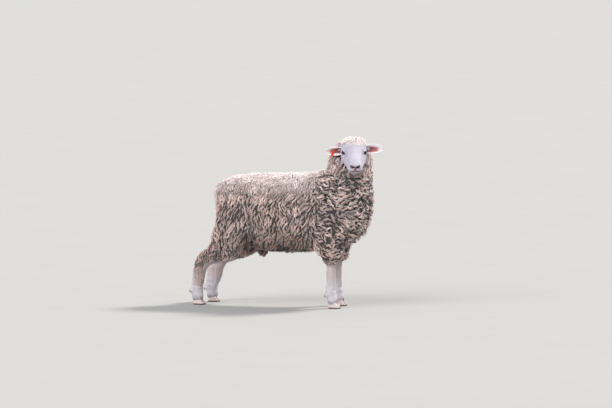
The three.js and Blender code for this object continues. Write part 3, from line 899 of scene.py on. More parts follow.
def nose_pad(local):
    """1 on the bare skin between and round the nostrils and on the lips."""
    x, y, z = local.T
    side = np.abs(y)
    strip = (1 - smooth(0, 3, side - 0.8 - 0.34 * (z + 20))) * smooth(-22, -17, z) * (1 - smooth(1, 6, z))
    rims = np.zeros(len(local))
    for _, away in SIDES:
        centre = (NOSTRIL_INNER + NOSTRIL_OUTER) / 2 * (1, away, 1)
        reach = np.linalg.norm((local - centre) / (14, 11.5, 8.5), axis=1)
        rims = np.maximum(rims, 0.8 - 0.8 * smooth(0.6, 1.0, reach))
    lips = 0.7 * smooth(104, 118, x) * hump((z - mouth_height(local), 0, 3.6)) * (1 - smooth(14, 26, side))
    chin = smooth(108, 126, x) * smooth(-44, -30, z) * (1 - smooth(-24, -19, z)) * 0.4
    return np.maximum(np.maximum(strip, 0.9 * rims) * smooth(112, 122, x), np.maximum(lips, chin))


def inside_of_ear(local, normals):
    """1 in the hollows of the ears, and how near to the root, where the hollow takes painted shade."""
    share = np.zeros(len(local))
    root = np.zeros(len(local))
    for _, side in SIDES:
        along, across, _ = in_ear(local, side).T
        facing = normals @ ear_axes(side)[:, 2]
        leaf = EAR_HALF_WIDTH * np.sqrt(np.clip(1 - (along / EAR_LENGTH / 0.92) ** 4, 0.02, 1))
        hollow = smooth(0.1, 0.5, facing) * (1 - smooth(0.36, 0.72, np.abs(across + 2) / leaf))
        hollow *= smooth(2, 12, along) * (1 - smooth(0.66, 0.90, along / EAR_LENGTH))
        hollow *= local[:, 1] * side > 45
        share = np.maximum(share, hollow)
        root = np.maximum(root, hollow * (1 - smooth(16, 66, along - 0.4 * across)))
    return share, root


def colour_skin():
    """Lays the skin's markings and its painted shade on it as attributes, which its material blends."""
    points = coordinates(skin)
    local = in_head(points)
    normals = vertex_normals(skin) @ HEAD_AXES
    on_head = smooth(0.008, 0.003, head_field.at(points))
    # Painted shade in the nostrils and in the creases of the mouth and the philtrum; the lids' rims are
    # partly their own dark skin and partly painted shade round the eyes.
    dark = np.zeros(len(points))
    for _, side in SIDES:
        opening, away = lid_opening(local, side)
        rim = (1 - smooth(0.16, 0.40, opening)) * (away < 24)
        dark = np.maximum(dark, np.maximum(rim, np.minimum(1.7 * nostril_share(local, side), 1)) * on_head)
    x, y, z = local.T
    mouth = hump((z - mouth_height(local), 0, 2.6)) * (1 - smooth(12, 21, np.abs(y)))
    philtrum = hump((y, 0, 1.8)) * smooth(-21, -17, z) * (1 - smooth(-9, -5, z))
    lines = np.maximum(0.85 * mouth, 0.6 * philtrum) * smooth(112, 122, x)
    dark = np.maximum(dark, lines * on_head)
    hollow, root = inside_of_ear(local, normals)
    near_ear = ear_share(points)
    _, stain = markings_and_top_light(points)
    shank, foot = leg_shares(points)
    bare = np.maximum(bare_share(points), 1 - smooth(24, 36, away_from_pair(local, EAR_ROOT)))
    # Painted shade in the hollow before each eye.
    tear = hump((x, 24, 15), (np.abs(y), 42, 9)) * on_head
    add_attributes(skin, {
        "dark": dark,
        "pad": nose_pad(local) * on_head,
        "pink": hollow * near_ear,
        # Painted shade, dark red, deep in each ear's hollow towards its root.
        "deep": root * near_ear,
        "lilac": 0.75 * tear,
        "stain": stain * bare,
        "shank": shank,
        "foot": foot,
        "ear": near_ear,
        # Painted shade on the skin where the wool covers it, less in the head.
        "under": (1 - smooth(0.15, 0.6, bare)) * (1 - 0.8 * head_share(points)),
    })


# ---------------------------------------------------------------- locks and tufts


def scattered(points, spacing):
    """The indices of points no nearer to each other than their spacing, in the order given."""
    tree = KDTree(len(points))
    for i, point in enumerate(points):
        tree.insert(point, i)
    tree.balance()
    taken = np.zeros(len(points), bool)
    kept = []
    for i, point in enumerate(points):
        if taken[i]:
            continue
        kept.append(i)
        for _, j, _ in tree.find_range(point, spacing[i]):
            taken[j] = True
    return np.array(kept)


def spots_on(points, faces, count):
    """Random points spread evenly over triangles or quads, and the faces that they lie on."""
    a, b, c, d = (points[faces[:, k]] for k in (0, 1, 2, -1))
    areas = np.linalg.norm(np.cross(c - a, (d - b) if faces.shape[1] == 4 else (b - a)), axis=1)
    chosen = rng.choice(len(faces), count, p=areas / areas.sum())
    u, v = rng.random((2, count, 1))
    a, b, c, d = a[chosen], b[chosen], c[chosen], d[chosen]
    if faces.shape[1] == 4:
        return mix(mix(a, b, u), mix(d, c, u), v), chosen
    flip = u + v > 1
    u, v = np.where(flip, 1 - u, u), np.where(flip, 1 - v, v)
    return a + (b - a) * u + (c - a) * v, chosen


def cell_noise(cell, seed):
    """Three random numbers for each whole-numbered cell."""
    keys = np.array(((127.1, 311.7, 74.7), (269.5, 183.3, 246.1), (113.5, 271.9, 124.6)))
    return np.modf(np.abs(np.sin(cell @ keys.T + seed)) * 43758.5453)[0]


def clumps(points, size, seed):
    """For each point the middle of its clump, and 0 at the clump's border to 1 well inside it."""
    scaled = points / size
    base = np.floor(scaled)
    nearest = np.full(len(points), np.inf)
    second = np.full(len(points), np.inf)
    centre = np.zeros_like(points)
    for shift in itertools.product((-1, 0, 1), repeat=3):
        cell = base + shift
        spot = cell + 0.15 + 0.7 * cell_noise(cell, seed)
        away = np.linalg.norm(spot - scaled, axis=1)
        closer = away < nearest
        second = np.where(closer, nearest, np.minimum(second, away))
        centre[closer] = spot[closer]
        nearest = np.where(closer, away, nearest)
    return centre * size, np.clip((second - nearest) / 0.4, 0, 1)


# Along a lock: how deep it lies as a share of the coat, how far it has run along the lie, how wide it is.
STRAND = np.array((
    (1.02, 0.00, 0.60),
    (0.24, 0.07, 0.90),
    (0.03, 0.22, 1.00),
    (0.00, 0.39, 1.00),
    (0.00, 0.56, 0.95),
    (0.02, 0.73, 0.84),
    (0.06, 0.89, 0.58),
    (0.12, 1.00, 0.00),
))
UNDER_LOCK = np.array((
    (1.02, 0.00, 0.60),
    (0.25, 0.10, 0.90),
    (0.00, 0.30, 1.00),
    (0.00, 0.55, 1.00),
    (0.02, 0.80, 0.80),
    (0.08, 1.00, 0.00),
))
WISP = np.array((
    (0.30, 0.00, 0.60),
    (0.04, 0.14, 1.00),
    (0.00, 0.36, 1.00),
    (0.00, 0.58, 0.90),
    (0.00, 0.80, 0.65),
    (0.00, 1.00, 0.00),
))
# Along a tuft: how high it stands as a share of its lift, how far it has run, how wide it is.
TUFT = np.array((
    (-0.60, 0.00, 0.40),
    (0.55, 0.45, 1.00),
    (1.00, 1.00, 0.00),
))


def lock_paths(spots, way, profile, depth, length, pull, wave, start, cycles, lift):
    """The middle line of each lock, held at its depth under the coat's outline, and the normals along it."""
    count, rings = len(spots), len(profile)
    across = unit(np.cross(way, outline.slope(spots)))
    paths = np.empty((count, rings, 3))
    normals = np.empty((count, rings, 3))
    for k, (sink, run, _) in enumerate(profile):
        turn = start + 2 * np.pi * cycles * run
        swing = wave * smooth(0.0, 0.3, run)
        height = 0.4 * swing * np.cos(turn) + lift * run**2 - depth * sink
        place = spots + way * (length * run)[:, None] + across * (swing * np.sin(turn))[:, None]
        place = place + pull * run**1.3
        for _ in range(2):
            normal = outline.slope(place)
            place = place - normal * (outline.at(place) - height)[:, None]
        paths[:, k] = place
        normals[:, k] = normal
    return paths, normals


def lock_mesh(name, paths, normals, width, profile, attributes, home, flatness=0.5):
    """Joined three-sided locks, each with its ridge outward and a patch of the map at its root's place."""
    count, rings = paths.shape[:2]
    tangents = unit(np.gradient(paths, axis=1))
    across = unit(np.cross(tangents, normals))
    wide = profile[None, :, 2] * width[:, None] * rng.uniform(0.88, 1.12, (count, rings))
    thick = flatness * wide
    ridge = paths + normals * (0.6 * thick)[..., None]
    left = paths + across * (0.5 * wide)[..., None] - normals * (0.4 * thick)[..., None]
    right = paths - across * (0.5 * wide)[..., None] - normals * (0.4 * thick)[..., None]
    body = np.stack((ridge, left, right), axis=2)[:, :-1].reshape(count, -1, 3)
    points = np.concatenate((body, paths[:, -1:]), axis=1)
    per_lock = points.shape[1]
    quads = np.array([
        (3 * k + (j + 1) % 3, 3 * k + 3 + (j + 1) % 3, 3 * k + 3 + j, 3 * k + j)
        for k in range(rings - 2) for j in range(3)
    ])
    last = 3 * (rings - 2)
    triangles = np.array([(last + (j + 1) % 3, per_lock - 1, last + j) for j in range(3)] + [(2, 1, 0)])
    starts = (np.arange(count) * per_lock)[:, None, None]
    faces = [(starts + kind[None]).reshape(-1, kind.shape[1]) for kind in (quads, triangles)]
    share = np.arange(rings) / (rings - 1)
    along = np.concatenate((np.repeat(share[:-1], 3), (1.0,)))
    around = np.concatenate((np.tile((0.5, 0.0, 1.0), rings - 1), (0.5,)))
    values = {"along": np.tile(along, count), "around": np.tile(around, count)}
    values.update({label: np.repeat(value, per_lock) for label, value in attributes.items()})
    made = add_mesh(name, points.reshape(-1, 3), faces, values)
    map_locks(made, home, (quads, triangles), share)
    return made


PATCH = 0.003  # the part of the map's width that a lock takes


def map_locks(made, home, kinds, share):
    """Lays each lock as a patch of the map at its root's place."""
    corners = []
    for kind in kinds:
        ring = np.minimum(kind // 3, len(share) - 1)
        turn = np.where(kind // 3 < len(share) - 1, kind % 3, 1) / 2.0
        patch = np.stack((turn - 0.5, share[ring] - 0.5), axis=-1).reshape(1, -1, 2) * PATCH
        corners.append((home[:, None] + patch).reshape(-1, 2))
    layer = made.data.uv_layers.new(name="OFBake")
    layer.data.foreach_set("uv", np.concatenate(corners).astype(np.float32).ravel())


def unwrapped(points, centre, axis):
    """Each point's place on the unrolled surface of a limb, over most of the square map."""
    around = [k for k in range(3) if k != axis]
    angle = np.arctan2(points[:, around[0]] - centre[0], points[:, around[1]] - centre[1])
    both = np.stack((angle, points[:, axis]), axis=1)
    low, high = both.min(0), both.max(0)
    return 0.01 + 0.98 * (both - low) / (high - low)


# ---------------------------------------------------------------- fleece

swirl_field = patches(0.040)
turn_field = patches(0.055)
drift_fields = [patches(0.05) for _ in range(3)]
region_field = patches(0.04)
FORE_WOOL, HIND_WOOL, SHANK_WOOL = 0.222, 0.222, 0.104  # the lowest roots, on the legs and on the outer shank
SHORT_WOOL = 0.235  # below it the wool is short


def lie_of_wool(points, normals):
    """The way the wool lies: down and a little back on the body, level on the breast, forward on the cap."""
    side = np.tanh(points[:, 1:2] / 0.03)
    down = np.array((-0.22, 0.0, -1.0)) + side * np.array((0.0, 0.35, 0.0))
    turn = turn_field.at(points) + rng.uniform(-0.14, 0.14, len(points))
    level = unit(np.cross(normals, (0.0, 0.0, 1.0))) * np.where(turn > 0.5, 1, -1)[:, None]
    breast, _ = wool_regions(points)
    down = mix(down, level - (0.0, 0.0, 0.3), 0.9 * breast[:, None])
    across_head = np.tanh(in_head(points)[:, 1:2] / 25)
    head = HEAD_AXES @ np.array((1.0, 0.0, -0.15)) + across_head * HEAD_AXES[:, 1] * 0.6
    lie = unit(along_surface(mix(down, head, head_share(points)[:, None]), normals))
    swirl = (swirl_field.at(points) - 0.5) * 2.0 + rng.normal(0, 0.2, len(points))
    return unit(lie * np.cos(swirl)[:, None] + np.cross(normals, lie) * np.sin(swirl)[:, None])


def wool_floor(points):
    """The height below which no lock of wool has its root."""
    ragged = region_field.at(points) - 0.5
    hind = mix(HIND_WOOL + 0.016 * ragged, SHANK_WOOL + 0.07 * ragged, outer_shank(points))
    return np.where(points[:, 0] < -0.1, hind, FORE_WOOL + 0.016 * ragged)


def wool_regions(points):
    """Shares of the breast, where the staples lie in level rolls, and of the back, where the wool is fine."""
    x, _, z = points.T
    edge = (region_field.at(points) - 0.5) * 0.09
    breast = smooth(0.165, 0.225, x + edge) * (1 - smooth(0.64, 0.72, z + edge)) * (1 - head_share(points))
    back = smooth(0.50, 0.60, z + edge) * (1 - smooth(0.12, 0.18, x))
    return breast, back


# On the flanks, the breast, the back, the neck, the shanks and the cap: the least distance between staples,
# how much a level and an upright distance count in it, a staple's length, its width, its wave and the depth
# of its gaps.
STAPLES = np.array((
    (0.0116, 1.00, 0.60, 0.032, 0.0092, 0.0032, 0.0105),
    (0.0156, 0.62, 0.96, 0.033, 0.0116, 0.0044, 0.0170),
    (0.0084, 1.00, 0.80, 0.021, 0.0072, 0.0020, 0.0050),
    (0.0106, 1.00, 0.64, 0.028, 0.0086, 0.0030, 0.0085),
    (0.0074, 1.00, 0.85, 0.016, 0.0056, 0.0024, 0.0030),
    (0.0092, 1.00, 1.00, 0.030, 0.0066, 0.0032, 0.0024),
))
STRANDS = 4  # in a staple
SHANK_ROW, CAP_ROW = 4, 5


def staple_kinds(points):
    """The row of the table above for each point, with ragged borders."""
    breast, back = wool_regions(points)
    border = rng.uniform(0.3, 0.7, len(points))
    neck = (points[:, 0] > 0.17) & (points[:, 2] > 0.6)
    kind = np.where(breast > border, 1, np.where(neck, 3, np.where(back > border, 2, 0)))
    kind = np.where(points[:, 2] < SHORT_WOOL, SHANK_ROW, kind)
    return np.where(head_share(points) > border, CAP_ROW, kind)


EAR_CLEAR = ((-20, 92), (-25, 25), (-12, 24))  # along, across and out of an ear: no wool has its root there
EYE_CLEAR = 32  # nor so near to the middle of an eye
FACE_BARE = 0.65  # of the face's share: the wool reaches a little way into the short hair


def wool_spots(points, quads, count):
    """Random points of the outline where wool grows."""
    spots, _ = spots_on(points, quads, count)
    bare = np.maximum(FACE_BARE * short_haired(spots) * head_share(spots), ear_share(spots))
    local = in_head(spots)
    bare = np.maximum(bare, away_from_pair(local, EYE_PLACE) < EYE_CLEAR)
    low, high = np.transpose(EAR_CLEAR)
    for _, side in SIDES:
        place = in_ear(local, side)
        bare = np.maximum(bare, np.all((place > low) & (place < high), axis=1))
    return spots[(bare < 0.5) & (spots[:, 2] > wool_floor(spots))]


def folds(points):
    """1 in the deep folds between groups of staples, 0 elsewhere."""
    drift = np.stack([field.at(points) - 0.5 for field in drift_fields], axis=1) * 0.06
    return 1 - clumps(points + drift, np.array((0.075, 0.075, 0.055)), 4.0)[1]


def wool_parts(spots):
    """The fleece's pieces: a name, which locks it holds, and the middle and axis of its unrolled shape."""
    x, y, z = spots.T
    cap = head_share(spots) > 0.5
    neck = ~cap & (x > 0.19) & (z > 0.58)
    fore = ~cap & ~neck & (x > 0.10) & (z < 0.36)
    hind = ~cap & (x < -0.06) & (z < 0.42)
    tail = ~cap & (x < TAIL_FRONT - 0.01) & ~hind
    trunk = ~(cap | neck | fore | hind | tail)
    for name, side in SIDES:
        mine = y * side >= 0
        yield f"neck_{name}", neck & mine, (0.31, 0.02), 2
        yield f"forearm_{name}", fore & mine, (0.24, side * 0.085), 2
        yield f"thigh_{name}", hind & mine & (z > 0.31), (-0.27, side * 0.085), 2
        yield f"gaskin_{name}", hind & mine & (z <= 0.31), (-0.27, side * 0.085), 2
        yield f"shoulder_{name}", trunk & mine & (x > 0.12), (0.0, 0.45), 0
        yield f"ribs_{name}", trunk & mine & (x <= 0.12) & (x > -0.14), (0.0, 0.45), 0
        yield f"loin_{name}", trunk & mine & (x <= -0.14), (0.0, 0.45), 0
    yield "tail", tail, (-0.36, 0.0), 2
    yield "cap", cap, (HEAD_ORIGIN[0], HEAD_ORIGIN[1]), 2


def quarters(spots):
    """The same for a layer in four pieces."""
    for name, side in SIDES:
        for end, ahead in (("front", 1), ("rear", -1)):
            yield f"{end}_{name}", (spots[:, 1] * side >= 0) & (spots[:, 0] * ahead >= 0), (0.0, 0.45), 0


def wool_pieces(layer, parts, paths, ridges, width, profile, attributes):
    """One joined mesh for each part of a layer of locks."""
    pieces = []
    for name, chosen, centre, axis in parts:
        values = {label: value[chosen] for label, value in attributes.items()}
        home = unwrapped(paths[chosen, 0], centre, axis)
        locks = (paths[chosen], ridges[chosen], width[chosen])
        pieces.append(lock_mesh(layer + name, *locks, profile, values, home))
    return pieces


STAPLE_TRIES, OTHER_TRIES = 200000, 90000  # random points, of which the well spaced ones are kept
CAP_SINK, CAP_UNDER_SINK, CAP_WISP_SINK = 0.0030, 0.0046, 0.0028  # how far in the cap's wool is set


def belly_share(points):
    """1 along the underside of the trunk, where painted shade darkens the wool."""
    x, _, z = points.T
    return smooth(0.33, 0.265, z) * smooth(-0.24, -0.14, x) * smooth(0.2, 0.1, x)


def hang(spots, normals):
    """How far the tips of locks stand out: hardly on the sides, more under the belly and the brisket."""
    return 0.0015 + 0.010 * smooth(0.1, 0.6, -normals[:, 2]) * (spots[:, 2] > 0.24)


def make_staples(points, quads):
    """The outer locks: staples of a few strands that cling together and leave gaps between them, darkened
    with painted shade.
    """
    spots = wool_spots(points, quads, STAPLE_TRIES)
    kind = staple_kinds(spots)
    spacing, level, height = STAPLES[kind].T[:3]
    measured = spots * np.stack((level, level, height), axis=1) / spacing[:, None] + 1000.0 * kind[:, None]
    kept = scattered(measured, np.ones(len(spots)))
    spots, kind = spots[kept], kind[kept]
    count = len(spots)
    normals = outline.slope(spots)
    way = lie_of_wool(spots, normals)
    fold = folds(spots) * (1 - head_share(spots))
    owner = np.repeat(np.arange(count), STRANDS)
    strand = np.tile(np.linspace(-1, 1, STRANDS), count)
    length, width, wave, gap_depth = STAPLES[kind[owner]].T[3:]
    spots, normals, way, fold = spots[owner], normals[owner], way[owner], fold[owner]
    total = len(spots)
    across = np.cross(way, normals)
    aside = across * (0.36 * width * strand)[:, None]
    roots = spots + aside + way * (length * rng.normal(0, 0.10, total))[:, None]
    size = rng.uniform(0.75, 1.25, count)[owner]
    start = rng.uniform(0, 2 * np.pi, count)[owner] + rng.normal(0, 0.35, total)
    cycles = rng.uniform(0.7, 1.3, count)[owner]
    lift = hang(spots, normals) * rng.uniform(0, 1, count)[owner] + rng.uniform(-0.0006, 0.0006, total)
    paths, ridges = lock_paths(
        roots, way, STRAND, coat_depth(roots), length * size, -0.6 * aside, wave, start, cycles, lift
    )
    sink = 0.0014 + 0.20 * width * strand**2 + 0.75 * gap_depth * fold * rng.uniform(0.5, 1.0, count)[owner]
    sink += head_share(spots) * (CAP_SINK + CAP_SINK * rng.random(count)[owner])
    paths = paths - ridges * sink[:, None, None]
    pale, stain = markings_and_top_light(spots)
    # Painted shade at the edges of each staple, in the folds and under the belly, less on the pale wool.
    gap = np.clip(0.25 * strand**2 + 0.6 * fold + 0.75 * belly_share(spots), 0, 1) * (1 - 0.7 * pale)
    attributes = {"pale": pale, "stain": stain, "gap": gap, "chance": rng.random(count)[owner]}
    thick = 0.44 * width * rng.uniform(0.85, 1.15, total)
    return wool_pieces("fleece_", wool_parts(spots), paths, ridges, thick, STRAND, attributes)


# Of the underwool where the coat is long and where it is short.
UNDER_SPACING, UNDER_LENGTH = (0.0080, 0.0054), (0.030, 0.012)
UNDER_WIDTH, UNDER_WAVE = (0.0130, 0.0080), (0.0020, 0.0010)


def make_underwool(points, quads):
    """Broad locks, made dark with painted shade, that close the gaps between staples, some way down."""
    spots = wool_spots(points, quads, OTHER_TRIES)
    kind = staple_kinds(spots)
    short = (kind >= SHANK_ROW) * 1.0
    kept = scattered(spots, mix(*UNDER_SPACING, short))
    spots, kind, short = spots[kept], kind[kept], short[kept]
    normals = outline.slope(spots)
    count = len(spots)
    depth = coat_depth(spots)
    sink = np.minimum(STAPLES[kind][:, 6] * rng.uniform(0.8, 1.25, count), 0.6 * depth + 0.0006)
    paths, ridges = lock_paths(
        spots, lie_of_wool(spots, normals), UNDER_LOCK, depth - 0.5 * sink, mix(*UNDER_LENGTH, short),
        np.zeros((count, 3)), mix(*UNDER_WAVE, short), rng.uniform(0, 2 * np.pi, count),
        rng.uniform(0.8, 1.4, count), 0.5 * hang(spots, normals),
    )
    paths = paths - ridges * (0.0016 + sink + CAP_UNDER_SINK * head_share(spots))[:, None, None]
    pale, stain = markings_and_top_light(spots)
    # Painted shade that makes the underwool dark, less on the pale wool and in the head.
    gap = (1 - 0.62 * pale) * (1 - 0.7 * head_share(spots))
    attributes = {"pale": pale, "stain": stain, "gap": gap, "chance": rng.random(count)}
    width = mix(*UNDER_WIDTH, short) * rng.uniform(0.85, 1.15, count)
    return wool_pieces("underwool_", quarters(spots), paths, ridges, width, UNDER_LOCK, attributes)


WISP_SPACING = 0.0098
WISP_LENGTH, WISP_WAVE = (0.026, 0.013), (0.0026, 0.0018)  # where the coat is long and where it is short


def make_wisps(points, quads):
    """Fine curling ends over the staples, a few of them standing free of the outline."""
    spots = wool_spots(points, quads, OTHER_TRIES)
    spots = spots[scattered(spots, np.full(len(spots), WISP_SPACING))]
    normals = outline.slope(spots)
    fold = folds(spots)
    keep = fold < 0.5
    spots, normals, fold = spots[keep], normals[keep], fold[keep]
    short = np.maximum(smooth(0.26, 0.2, spots[:, 2]), head_share(spots))
    count = len(spots)
    length = mix(*WISP_LENGTH, short) * rng.uniform(0.7, 1.3, count)
    lift = 0.0055 * rng.random(count) ** 3 + hang(spots, normals) * rng.random(count)
    paths, ridges = lock_paths(
        spots, lie_of_wool(spots, normals), WISP, coat_depth(spots) * 0.3, length, np.zeros((count, 3)),
        mix(*WISP_WAVE, short), rng.uniform(0, 2 * np.pi, count), rng.uniform(0.4, 0.9, count), lift,
    )
    paths = paths - ridges * (CAP_WISP_SINK * head_share(spots) + 0.004 * fold)[:, None, None]
    pale, stain = markings_and_top_light(spots)
    pale = np.clip(pale + 0.3, 0, 1)
    # Painted shade in the folds.
    attributes = {"pale": pale, "stain": stain, "gap": 0.4 * fold, "chance": rng.random(count)}
    width = rng.uniform(0.0016, 0.0030, count)
    return wool_pieces("wisps_", quarters(spots), paths, ridges, width, WISP, attributes)


# ---------------------------------------------------------------- short hair


def lie_of_hair(points, normals):
    """The way short hair lies: down the legs, back from the nose over the face, out along the ears."""
    local = in_head(points)
    face = HEAD_AXES @ np.array((-1.0, 0.0, 0.1)) + np.tanh(local[:, 1:2] / 20) * HEAD_AXES[:, 1] * 0.5
    way = np.tile((0.05, 0.0, -1.0), (len(points), 1))
    way = mix(way, face, (points[:, 2:3] > 0.4) * 1.0)
    for _, side in SIDES:
        ear = (ear_share(points) * (local[:, 1] * side > 45))[:, None]
        way = mix(way, HEAD_AXES @ ear_axes(side)[:, 0], ear)
    return unit(along_surface(way, normals) + rng.normal(0, 0.18, way.shape))


HAIR_TRIES = 400000  # random points, of which the chosen ones are kept
HAIR_FLATNESS = 0.2  # a tuft's thickness over its width
LOWEST_HAIR = 0.003  # above the floor


def tufts(name, chance, spacing, length, width, lift):
    """Joined tufts of short hair over the skin wherever `chance` allows."""
    points, faces = coordinates(skin), triangles(skin.data)
    spots, on = spots_on(points, faces, HAIR_TRIES)
    allowed = chance(spots) > rng.random(len(spots))
    spots, on = spots[allowed], on[allowed]
    kept = scattered(spots, np.full(len(spots), spacing))
    spots, on = spots[kept], on[kept]
    normals = unit(vertex_normals(skin)[faces[on]].mean(axis=1))
    way = lie_of_hair(spots, normals)
    count = len(spots)
    fringe = 1 + 0.8 * hump((spots[:, 2], 0.038, 0.010))
    sizes = rng.uniform(0.7, 1.3, count) * fringe
    bend = np.cross(normals, way) * (rng.normal(0, 0.15, count) * length)[:, None]
    along = way * (length * sizes)[:, None]
    up = normals * (lift * sizes)[:, None]
    paths = np.stack([spots + along * run + up * rise + bend * run**2 for rise, run, _ in TUFT], axis=1)
    paths[..., 2] = np.maximum(paths[..., 2], LOWEST_HAIR)
    _, stain = markings_and_top_light(spots)
    shank, foot = leg_shares(spots)
    foot = np.maximum(np.maximum(foot, shank), 0.8 * head_share(spots))
    attributes = {"stain": 0.5 * stain, "shank": shank, "foot": foot,
                  "ear": ear_share(spots), "chance": rng.random(count)}
    home = unwrapped(spots, (0.0, 0.0), 2)
    ridges = np.repeat(normals[:, None], len(TUFT), 1)
    return lock_mesh(name, paths, ridges, width * sizes, TUFT, attributes, home, HAIR_FLATNESS)


def leg_hair(points):
    """Where hair stands free on the legs: over hooves, fetlocks and knees, and thinly between them."""
    height = points[:, 2]
    fringe = hump((height, 0.040, 0.012))
    fetlock = 0.4 * hump((height, 0.075, 0.016))
    knee = 0.8 * smooth(0.19, 0.215, height)
    sparse = 0.07 * (height > 0.03)
    return np.max((fringe, fetlock, knee, sparse), axis=0) * (height < SHORT_WOOL)


def face_hair(points):
    """Where hair stands free on the head: along the border of the wool, but not on the lids."""
    local = in_head(points)
    x, y, z = local.T
    on_face = short_haired(points) * head_share(points)
    edge = smooth(30, 0, x - wool_edge(y, z))
    lids = np.zeros(len(points), bool)
    for _, side in SIDES:
        opening, away = lid_opening(local, side)
        lids |= (opening < 1.2) & (away < 30)
    return on_face * edge * ~lids


def ear_hair(points):
    """Where hair stands free on the ears: along their rims."""
    local = in_head(points)
    rim = np.zeros(len(points))
    for _, side in SIDES:
        along, across, _ = in_ear(local, side).T
        edge = np.maximum(np.abs(across) / EAR_HALF_WIDTH, (along / EAR_LENGTH) * 0.95)
        rim = np.maximum(rim, smooth(0.6, 0.85, edge) * (local[:, 1] * side > 50))
    return ear_share(points) * rim


def make_short_hair():
    return (
        tufts("hair_legs", leg_hair, 0.0022, 0.0090, 0.0012, 0.0004),
        tufts("hair_face", face_hair, 0.0022, 0.0070, 0.0015, 0.0005),
        tufts("hair_ears", ear_hair, 0.0020, 0.0060, 0.0013, 0.0005),
    )


# ---------------------------------------------------------------- eyes, hooves and tag


def finer(node, step, name):
    """A smooth piece in the shape of a faceted solid."""
    points, faces = node_triangles(node)
    first = np.floor((points.min(0) / step)).astype(int) - 5
    shape = np.ceil((points.max(0) / step)).astype(int) + 6 - first
    values = blurred(as_array(level_set(points, faces, step, 4), first, shape), 2)
    points, quads = surface(Field(values, first * step, step))
    return add_mesh(name, points, [quads])


EYE_RINGS, EYE_TURNS = 28, 40
CORNEA = 0.9  # how far it stands proud of the eyeball
PUPIL_LENGTH, PUPIL_HEIGHT = 4.6, 1.9  # half of each


def make_eye(name, side):
    """An eyeball with a slightly proud cornea over a brown iris with a level pupil."""
    angle = np.linspace(0, np.pi, EYE_RINGS + 1)[1:-1, None]
    turn = np.linspace(0, 2 * np.pi, EYE_TURNS, endpoint=False)[None]
    radius = EYE_RADIUS + CORNEA * (1 - smooth(0.35, 0.75, angle))
    rings = (radius * np.sin(angle) * np.cos(turn), radius * np.sin(angle) * np.sin(turn),
             radius * np.cos(angle) * np.ones_like(turn))
    ball = np.stack(rings, axis=-1).reshape(-1, 3)
    ball = np.concatenate((ball, ((0, 0, EYE_RADIUS + CORNEA), (0, 0, -EYE_RADIUS))))
    k, t = np.meshgrid(np.arange(EYE_RINGS - 2), np.arange(EYE_TURNS), indexing="ij")
    ahead = (t + 1) % EYE_TURNS
    first, second = k * EYE_TURNS, (k + 1) * EYE_TURNS
    quads = np.stack((first + t, second + t, second + ahead, first + ahead), -1).reshape(-1, 4)
    t, ahead = t[0], ahead[0]
    base = (EYE_RINGS - 2) * EYE_TURNS
    front = np.stack((np.full(EYE_TURNS, len(ball) - 2), t, ahead), -1)
    back = np.stack((np.full(EYE_TURNS, len(ball) - 1), base + ahead, base + t), -1)
    iris = np.arccos(np.clip(ball[:, 2] / np.linalg.norm(ball, axis=1), -1, 1))
    pupil = np.where(ball[:, 2] > 0, np.hypot(ball[:, 0] / PUPIL_LENGTH, ball[:, 1] / PUPIL_HEIGHT), 9.0)
    points = from_head(ball @ eye_axes(side).T + EYE_PLACE * (1, side, 1))
    kinds = [quads, np.concatenate((front, back))]
    if side > 0:
        kinds = [kind[:, ::-1] for kind in kinds]
    return add_mesh(f"eyeball_{name}", points, kinds, {"iris": iris, "pupil": pupil})


def eye_material():
    look = Shader("eye", roughness=0.12, specular=0.3, coat=0.25)
    iris = look.ramp(look.attribute("iris"), (0.0, srgb(14, 8, 6)), (0.55, srgb(20, 12, 8)),
                     (0.66, srgb(10, 7, 7)), (0.9, srgb(20, 14, 13)))
    pupil = look.ramp(look.attribute("pupil"), (0.85, (0, 0, 0)), (1.0, (1, 1, 1)))
    return look.finish(look.blend(pupil, srgb(4, 4, 6), iris))


def horn_material():
    """Pale pinkish hoof horn with faint growth rings, dark at the edge of the sole."""
    look = Shader("horn", roughness=0.5, specular=0.3)
    rings = look.noise(55, 3, look.place((0.3, 0.3, 3.0)))
    colour = look.ramp(rings, (0.3, srgb(188, 170, 168)), (0.6, srgb(206, 192, 190)))
    colour = look.blend(look.attribute("sole"), colour, srgb(72, 42, 36))
    look.bump(rings, 0.0003)
    return look.finish(colour)


def tag_material():
    look = Shader("tag_plastic", roughness=0.4, specular=0.5)
    colour = look.ramp(look.noise(120), (0.35, srgb(228, 56, 16)), (0.65, srgb(244, 74, 24)))
    look.bump(look.noise(500, 2), 0.0001)
    return look.finish(colour)


HEEL_HEIGHT, TOE_HEIGHT = 0.019, 0.037  # of a claw's wall


def make_hoof(node):
    """One claw, its top tucked under the hair, with the edge of its sole marked."""
    piece = finer(node, 0.0012, node.replace("leg", ""))
    points = coordinates(piece)
    low, high = (np.array(corner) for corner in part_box(node))
    toe = (points[:, 0] - low[0]) / (high[0] - low[0])
    rise = points[:, 2] / mix(HEEL_HEIGHT, TOE_HEIGHT, toe)
    tuck = smooth(0.45, 0.85, rise)
    centre = (low + high) / 2
    points[:, 1] = mix(points[:, 1], centre[1], 0.20 * tuck)
    points[:, 0] = mix(points[:, 0], centre[0] - 0.004, 0.12 * tuck)
    place_coordinates(piece, points)
    add_attributes(piece, {"sole": 1 - smooth(0.0030, 0.0080, points[:, 2])})
    return piece


